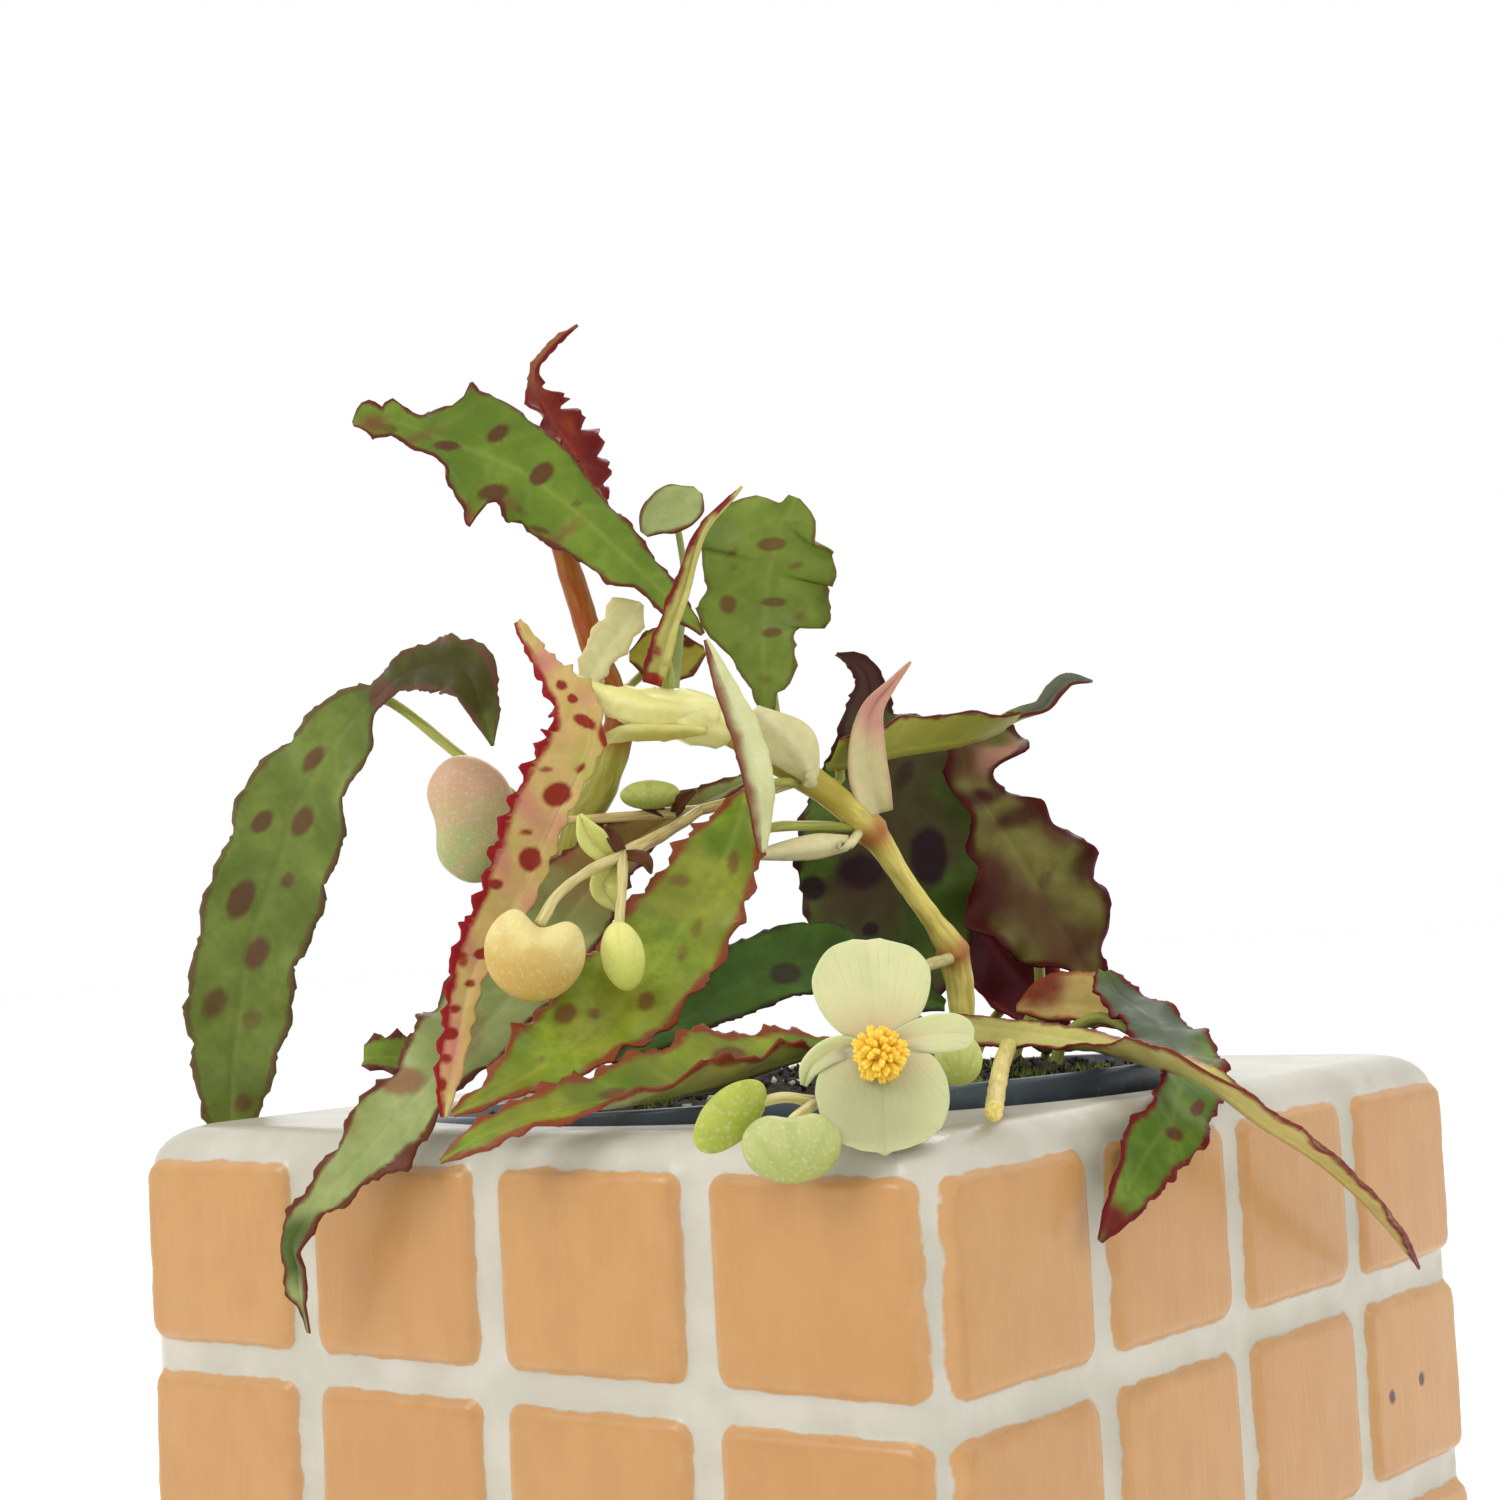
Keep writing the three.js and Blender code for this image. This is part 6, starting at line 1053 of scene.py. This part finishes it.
        face=[(0, -1, 0.3)], fold=(15, 15), wave=(0.4, 5, 0), teeth=(0.4, 3), seed=29, look=leaf_freckled,
        dots=[(618, 656, 7, 10, 0, 1), (640, 676, 6, 5, 0, 0.6), (690, 642, 9, 6, 30, 0.8),
          (630, 640, 4, 4, 0, 0.5)], stalk=(0.3, [(-15.4, -3, 125), (-17.3, -8.4, 124)], (0.4, 0.45))),
    "stipule_cream": dict(
        rib=[(-19.2, -14.6, 124.2, 0.9), (-18, -13.2, 126.6, 1.5, 1.2), (-16.4, -12.4, 128.8, 1.7, 1.5),
          (-15, -11.9, 130.6, 1.9, 1.4), (-13.7, -11.5, 131.9, 0.3)], face=[(0.2, -1, 0)], fold=(15, 20),
        teeth=(0.8, 2.9), frill=0.4, seed=30, look=papery, stalk=(0.14, [(-17.8, -9.6, 124.6)], (0.45, 0.5))),
    "leaf_small_left": dict(
        rib=[(-40.2, -25, 90.2, 1.5), (-38.4, -25, 90.2, 1.9), (-35.6, -24.6, 90, 2), (-32.6, -24, 90, 1.4)],
        face=[(0, -0.7, 0.7)], fold=(25, 25), wave=(0.2, 5, 0), teeth=(0.9, 1.9), frill=0.4, seed=31,
        look=leaf_green, stalk=(0.9, [(-26, -17.6, 90.4), (-19, -8.2, 92)], (0.4, 0.45))),
}
PALE = ("leaf_cream", "leaf_pale_narrow", "leaf_upright", "leaf_yellow_low", "leaf_edge_on", "leaf_long_right")
DARK = ("leaf_dark_back", "leaf_olive_back", "leaf_red_low", "leaf_top_back", "leaf_low_dark", "leaf_low_right")


def slot_of(node):
    """Slot of a leaf, a bract or a stipule."""
    if node.startswith("stipule") or node.startswith("bract"):
        return "stipule"
    return "leaf_pale" if node in PALE else "leaf_dark" if node in DARK else "leaf_green"


stalk_green = stem_look("Stalk_green", "#a3a552", "#858f3c")
cane_olive = stem_look("Cane_olive", "#e6d878", "#c6b65a", ring="#a3542a", tip="#a8983e", length=43)
cane_brown = stem_look("Cane_brown", "#b3b055", "#98923f", ring="#8e4a1e", tip="#944412", length=46)
shoot_cream = stem_look("Shoot_cream", "#ece8a4", "#dcd684", ring="#d9cd8a", gloss=0.28)
spray_brown = stem_look("Spray_brown", "#d2c684", "#b39260", ring="#96582e")
spray_green = stem_look("Spray_green", "#d2c88e", "#b7a76a", ring="#b07a55")
stub_yellow = stem_look("Stub_yellow", "#dccb78", "#c9b45c", ring="#a88c50")

for node, spec in LEAVES.items():
    spec = dict(spec)
    look, (share, way, *radii) = spec.pop("look"), spec.pop("stalk")
    piece = Piece(node, slot_of(node))
    blade(piece, **spec)
    centre, along, _ = Curve([p[:3] for p in spec["rib"]]).at([share])
    up = mix(spec["face"], np.array([share])).reshape(-1)[:3]
    up = unit(up - np.dot(up, along[0]) * along[0])
    way = [centre[0] - up * 0.4, centre[0] - up * 1.5, *way]
    stem(piece, way, radii[0] if radii else STALK, sides=10, look=1, seed=3)
    piece.build(look, look if slot_of(node) == "stipule" else stalk_green)

CANE_MAIN = [(15, 1, 76), (15.4, 0.6, 84), (15.7, 0, 90.8), (15.1, -1, 96.6), (14.2, -2, 98.4),
             (10.6, -5, 103.8), (7.8, -7.6, 108.3), (6.3, -8.8, 110.2), (1.1, -12.4, 114.4), (-2.5, -14, 117),
             (-5.5, -15, 118.8)]
CANE_MAIN_RADII = [1.25, 1.25, 1.2, 1.2, 1.35, 1.6, 1.05, 1.02, 1.1, 1.6, 1.3, 1.5, 1.7, 1.5]
CANE_SECOND = [(-16, -5, 77), (-16, -6, 84.5), (-19.5, -7, 94), (-22, -8, 104), (-21, -9, 110.5), (-18, -10, 115.5),
               (-16.5, -10, 121), (-18.5, -8, 127.5), (-20, -6.6, 133), (-21.3, -5.6, 138), (-22, -5.2, 142)]
CANE_SECOND_RADII = [1.5, 1.6, 1.6, 1.7, 1.9, 1.7, 1.5, 1.35, 1.3, 1.2, 1.1]
SHOOT = [(-6.5, -15.3, 119.2), (-9.5, -16, 120.4), (-14, -17, 121.3), (-17.8, -18, 122.8)]
SHOOT_RADII = [2.1, 2.6, 2.4, 2.2, 1.7, 0.5]
SHEATHS = [  # rib and frill of each flap of the shoot's papery sheath
    ([(-6.6, -18, 120.2, 1.4, 1.6), (-10.6, -18.9, 121, 2, 2.4), (-14.4, -19.8, 121.5, 1.9, 2.3),
      (-17.4, -20.1, 122.5, 1.4, 1.5), (-19.4, -20, 124, 0.7, 0.6), (-20.6, -19.6, 125, 0.15)], 0.5),
    ([(-8, -18.4, 118.9, 0.5), (-12, -19.2, 119, 1, 0.9), (-15.4, -19.8, 119.1, 1.1, 0.8),
      (-17.4, -20, 118.3, 0.6, 0.5), (-18.4, -19.8, 116.6, 0.15)], 0.4),
]

piece = Piece("cane_main", "stem")
stem(piece, CANE_MAIN, CANE_MAIN_RADII, sides=24, step=0.4, rings=(0.385, 0.675), seed=2)
piece.build(cane_olive)
piece = Piece("cane_second", "stem")
stem(piece, CANE_SECOND, CANE_SECOND_RADII, sides=24, step=0.4, rings=(0.4, 0.66), seed=3)
piece.build(cane_brown)
piece = Piece("young_shoot", "stem")
stem(piece, SHOOT, SHOOT_RADII, sides=28, step=0.25, rough=0.04, seed=4, blunt=False)
for k, (rib, frill) in enumerate(SHEATHS):
    # The listed tint patch darkens the lower fold of the sheath: painted shade.
    blade(piece, rib, [(0.1, -1, 0.2)], fold=(-38, -34), wave=(0.15, 4, k), thick=0.3, frill=frill, seed=60 + k,
          look=1, tints=[(670, 738, 70, 9, 0, 0.9)])
piece.build(shoot_cream, sheath)
piece = Piece("petiole_stub", "stem")
stem(piece, [(18.8, -14.5, 87.9), (16.3, -34, 87.1), (13.5, -57, 85.1)], [0.8, 0.76, 0.74], sides=16, seed=5)
piece.build(stub_yellow)

# ---- Sprays, buds and the open flower

# Points and radii of the stalks of both sprays; the last two of the upper one are green
SPRAY_UPPER = [
    ([(1, -12, 114.2), (-4.5, -14.6, 112.6), (-9, -14.6, 111.6), (-13.5, -15.2, 111.4)], (0.6, 0.5, 0.6)),
    ([(-13.2, -15.2, 111.4), (-21, -14.4, 111.3), (-26.6, -12.6, 111.6), (-29.5, -12, 111.8)], (0.5, 0.4, 0.5)),
    ([(-9, -14.6, 111.6), (-11.6, -18.6, 109.8), (-16, -25, 107.4)], (0.5, 0.6, 0.7)),
    ([(-16, -24.8, 107.4), (-18.8, -28.6, 106.1), (-21.6, -33, 103.8), (-22.9, -35, 101.6)], (0.6, 0.45, 0.55)),
    ([(-16, -25, 107.4), (-16, -29.4, 104), (-16.3, -31.4, 100.8), (-16.2, -31.8, 99.4)], (0.6, 0.45, 0.5)),
]
SPRAY_BRACTS = [
    [(-12.4, -15.2, 111.4), (-14.6, -16, 112.6), (-15.6, -16.4, 114)],
    [(-11.4, -15.4, 111.4), (-10.4, -17, 112.6), (-9.2, -17.6, 113.4)],
    [(-16, -25, 107.4), (-16.8, -25.6, 109), (-17.4, -26, 110.2)],
    [(-16, -25, 107.4), (-14, -26.4, 106.8), (-13.4, -26.8, 105.6)],
]
BUD_HALVES = [
    dict(rib=[(-19.6, -27, 111.2, 0.3), (-18.9, -26.4, 109.2, 1.5, 1.4), (-17.2, -25, 107.2, 1)],
         face=[(0.3, -1, 0)]),
    dict(rib=[(-16.6, -24.8, 106.8, 0.6), (-17.8, -26, 104.6, 1.7, 1.5), (-16.4, -26, 102.4, 0.4)],
         face=[(0.2, -1, 0)]),
]
SPRAY_LOWER = [
    ([(15, -1, 96.2), (10.8, -14, 95.6), (7, -34, 94), (4.6, -50, 91), (4.5, -54.6, 89.6)], (0.6, 0.5, 0.6)),
    ([(6, -40, 93), (8, -44, 91), (11, -46, 89.6)], (0.45, 0.4)),
    ([(5.4, -46, 92), (3, -52, 88.6), (-0.2, -57, 86.6), (-2, -61, 85.6), (-3, -62.4, 84.6)], (0.5, 0.45, 0.5)),
    ([(-0.2, -57, 86.6), (-3, -58.6, 87.2), (-6, -59.4, 86.4)], (0.45, 0.4)),
]

bud_cream = petal_look("Bud_cream", "#ddd48c", "#c4c56e", "#b08a50")
bract_dry = stem_look("Bract_dry", "#a0603a", "#7e4024", ring="#6e3420")
piece = Piece("spray_upper", "stem")
for k, (points, radii) in enumerate(SPRAY_UPPER):
    stem(piece, points, radii, sides=12, step=0.5, seed=k, rough=0.08, look=1 if k > 2 else 0)
for k, points in enumerate(SPRAY_BRACTS):
    ribbon = [(*p, w) for p, w in zip(points, (0.5, 0.75, 0.15))]
    blade(piece, ribbon, [(0.2, -1, 0.3)], fold=(30, 40), thick=0.3, frill=0.3, seed=k + 40, look=3)
for k, half in enumerate(BUD_HALVES):
    blade(piece, fold=(30, 30), thick=0.4, frill=0, seed=k + 44, look=2, **half)
piece.build(spray_brown, spray_green, bud_cream, bract_dry)

piece = Piece("spray_lower", "stem")
for k, (points, radii) in enumerate(SPRAY_LOWER):
    stem(piece, points, radii, sides=12, step=0.5, seed=k + 9, rough=0.08)
piece.build(spray_green)

BUDS = {
    "bud_left": dict(
        at=(-31, -12, 112), size=(12.6, 6.5, 9.2), notch=0.26, tilt=-98, sideways=True,
        look=("#bf9c7a", "#a4a96c", "#c8927a", None)),
    "bud_ochre": dict(
        at=(-23.4, -35.5, 99.2), size=(9, 5, 8.6), notch=0.5, tilt=16, ribs=0.004,
        look=("#dccd8a", "#bf9f50", "#c8a85c", None)),
    "bud_oval": dict(
        at=(-16, -32, 98.4), size=(3.9, 3.4, 6.2), notch=0, tilt=-8, ribs=0.006,
        look=("#dcd880", "#cbd068", "#c4c860", "#b9a24e")),
    "bud_olive": dict(
        at=(-13.6, -16.5, 113.2), size=(5.8, 3, 2.8), notch=0, tilt=0,
        look=("#b6bb62", "#9aa447", "#8a8f3c", None)),
    "bud_behind": dict(
        at=(11.7, -47.5, 88.8), size=(4, 2.4, 4.4), notch=0, tilt=0, look=("#bcc272", "#aab45a", "#98a352", None)),
    "bud_kidney_low": dict(
        at=(-2.3, -62, 83.8), size=(7.8, 4.6, 5.8), notch=0.28, tilt=0,
        look=("#b3b874", "#a2ab60", "#92a058", None)),
    "bud_oval_low": dict(
        at=(-6.9, -59, 86), size=(7.2, 2, 4), notch=0, tilt=-42, look=("#a9b048", "#9aa53c", "#88962e", None)),
}
for node, spec in BUDS.items():
    spec = dict(spec)
    colour, tip, streak, edge = spec.pop("look")
    piece = Piece(node, "bud")
    bud(piece, seed=len(node), **spec)
    piece.build(petal_look(node.capitalize(), colour, tip, streak, edge))

FLOWER = np.array([4.9, -56, 90.1])
TEPALS = [
    ([(0, 0.2, 0.6, 1.4), (-0.1, 0.2, 2.4, 3.4), (-0.2, 0.3, 4.4, 4.5), (-0.3, 0.8, 6.2, 4.6),
      (-0.4, 1.4, 7.8, 3.4), (-0.4, 2, 8.8, 1.1)], (4, 12)),
    ([(0, -0.1, 0.7, 2.6), (0, -0.5, -0.6, 4.2), (0, -1.2, -2, 5), (0, -2.2, -3.5, 5.2), (-0.1, -3.5, -4.9, 4.9),
      (-0.2, -5, -6, 4.3), (-0.2, -6.1, -6.7, 3.5), (-0.2, -6.8, -7.1, 2)], (4, 10)),
    ([(-0.8, 0.1, 0.2, 0.8), (-3.4, -0.4, 0.4, 1.1), (-5.4, -0.8, -0.8, 0.9), (-6, -0.8, -2.2, 0.3)], (15, 35)),
    ([(0.8, 0.1, 0.6, 0.8), (3.6, -0.4, 1.2, 1.4), (5.8, -0.4, 1.3, 1.5), (7, -0.3, 1.1, 1.1), (7.5, -0.2, 1, 0.4)],
      (10, 10)),
]


def tepal_look():
    """Pale tepal with fine lines that fan out from its foot."""
    look = Look("Tepal", 0.45, (1.2, 1.2, 0.8), Subsurface_Weight=0.35, Specular_IOR_Level=0.25)
    along, across, _ = look.parts("place")
    _, edge, _ = look.parts("marks")
    fan = look.maths("DIVIDE", across, look.add(along, 2.5))
    lines = look.maths("ABSOLUTE", look.maths("SINE", look.times(fan, 34.0)))
    cloud = look.noise(2.6, 4)
    shade = look.blend(look.ramp(along, 0.5, 5), "#cdbf9a", "#cbc99a")
    shade = look.blend(look.ramp(cloud, 0.4, 0.7, 0, 0.45), shade, "#b9c08c")
    shade = look.blend(look.ramp(edge, 0.4, 1, 0, 0.45), shade, "#b6c48c")
    shade = look.blend(look.times(look.tint(), 0.85), shade, "#9ea27a")
    streak = look.times(look.ramp(lines, 0.25, 0.02), look.ramp(along, 1, 3, 0.05, 0.3))
    shade = look.blend(look.times(streak, look.ramp(look.noise(1.2, 2), 0.35, 0.65)), shade, "#9aa274")
    return look.finish(shade, look.add(lines, look.times(look.noise(0.35, 2), 0.6)), 0.25, 0.06)


def anther_look():
    """Grainy yellow of the stamens."""
    look = Look("Anther", 0.5, (1.0, 0.7, 0.2), Subsurface_Weight=0.2)
    shade = look.blend(look.ramp(look.noise(0.9, 3), 0.35, 0.65), "#ffd648", "#f7bf30")
    shade = look.blend(look.ramp(look.noise(0.16, 2), 0.5, 0.7, 0, 0.4), shade, "#ffe88c")
    return look.finish(shade, look.noise(0.14, 2), 0.4, 0.05)


piece = Piece("flower_tepals", "tepal")
for k, (rib, fold) in enumerate(TEPALS):
    placed = [(*(FLOWER + p[:3]), *p[3:]) for p in rib]
    blade(piece, placed, [(0, -1, 0.1)], fold=fold, wave=(0.12, 5, k), thick=0.45, frill=0, seed=50 + k, fine=0.2,
          tints=[(872, 1120, 66, 50, 0, 0.9)])
piece.build(tepal_look())

piece = Piece("flower_stamens", "stamen")
heart = FLOWER + [0, -1.6, 0]
bud(piece, heart, (2.0, 2.0, 2.0), seam=0, ribs=0)
rng = np.random.default_rng(6)
for k in range(ANTHERS):
    out = math.radians(84) * math.sqrt((k + 0.4) / ANTHERS)
    around = k * math.pi * (3 - math.sqrt(5))
    way = np.array([math.sin(out) * math.cos(around), -math.cos(out), math.sin(out) * math.sin(around)])
    side = unit(np.cross(way, [0.3, 1, 0.2]))
    reach = 2.05 + rng.uniform(-0.15, 0.2)
    bend = side * rng.uniform(-0.25, 0.25)
    for half in (-1, 1):
        shift = side * 0.13 * half
        tip, waist = heart + way * reach + bend + shift, heart + way * reach * 0.72 + bend + shift * 0.6
        stem(piece, [heart + way * 0.5, waist, tip], (0.12, 0.15, 0.26, 0.27, 0.2), sides=8, step=0.22, rough=0.06,
             seed=k, blunt=False)
piece.build(anther_look())

# ---- Pot, soil and the nursery pot

build_pot(glaze_look())

plastic = Look("Nursery_plastic", 0.42)
shade = plastic.blend(plastic.ramp(plastic.noise(8, 4), 0.35, 0.7), "#3b4650", "#46535d")
shade = plastic.blend(plastic.ramp(plastic.noise(1.5, 4), 0.6, 0.75, 0, 0.35), shade, "#77808a")
build_nursery(plastic.finish(shade, plastic.noise(0.8, 3), 0.2, 0.1))

soil = Look("Soil", 0.9)
shade = soil.blend(soil.ramp(soil.noise(1.5, 5), 0.35, 0.65), "#17110c", "#3a2c20")
soil_material = soil.finish(shade, soil.noise(0.5, 5), 0.8, 0.3)
perlite = Look("Perlite", 0.8)
shade = perlite.blend(perlite.noise(0.5, 3), "#d9d6cb", "#b7b2a2")
perlite_material = perlite.finish(shade, perlite.noise(0.3, 3), 0.6, 0.1)
moss = Look("Moss", 0.8)
shade = moss.blend(moss.noise(1.2, 2), "#8a9a34", "#4c5c1e")
moss_material = moss.finish(shade, moss.noise(0.3, 2), 0.3, 0.1)
build_soil(soil_material, perlite_material, moss_material)

# ---- Floor, light and camera

floor_mesh = bpy.data.meshes.new("Floor")
floor_mesh.from_pydata([(-6, -6, 0), (6, -6, 0), (6, 6, 0), (-6, 6, 0)], [], [(0, 1, 2, 3)])
floor = bpy.data.objects.new("Floor", floor_mesh)
bpy.context.scene.collection.objects.link(floor)
ground = bpy.data.materials.new("Floor")
ground.use_nodes = True
ground.node_tree.nodes["Principled BSDF"].inputs["Base Color"].default_value = rgb("#ffffff")
ground.node_tree.nodes["Principled BSDF"].inputs["Roughness"].default_value = 0.7
floor_mesh.materials.append(ground)

world = bpy.data.worlds.new("Studio")
world.use_nodes = True
world.node_tree.nodes["Background"].inputs["Color"].default_value = (1, 1, 1, 1)
world.node_tree.nodes["Background"].inputs["Strength"].default_value = 1.0
bpy.context.scene.world = world
bpy.context.scene.view_settings.view_transform = "Standard"


def lamp(name, place, power, size):
    """Round area lamp that shines on the middle of the plant."""
    light = bpy.data.lights.new(name, "AREA")
    light.shape, light.size, light.energy = "DISK", size, power
    obj = bpy.data.objects.new(name, light)
    obj.location = place
    obj.rotation_euler = (Vector(LAMP_AIM) - Vector(place)).to_track_quat("-Z", "Y").to_euler()
    bpy.context.scene.collection.objects.link(obj)


lamp("Key", (-0.35, -0.75, 0.75), 3.4, 0.5)
lamp("Back", (-0.5, 0.7, 0.8), 4, 0.6)
lamp("Fill", (0.8, 0.1, 0.5), 0.8, 0.6)

ahead, across, upward = camera_axes()
camera = bpy.data.cameras.new("Camera")
camera.lens, camera.sensor_width, camera.clip_start = CAMERA_LENS, SENSOR, 0.01
eye = bpy.data.objects.new("Camera", camera)
eye.matrix_world = Matrix([*np.c_[across, upward, -ahead, CAMERA_AT].tolist(), (0, 0, 0, 1)])
bpy.context.scene.collection.objects.link(eye)
bpy.context.scene.camera = eye
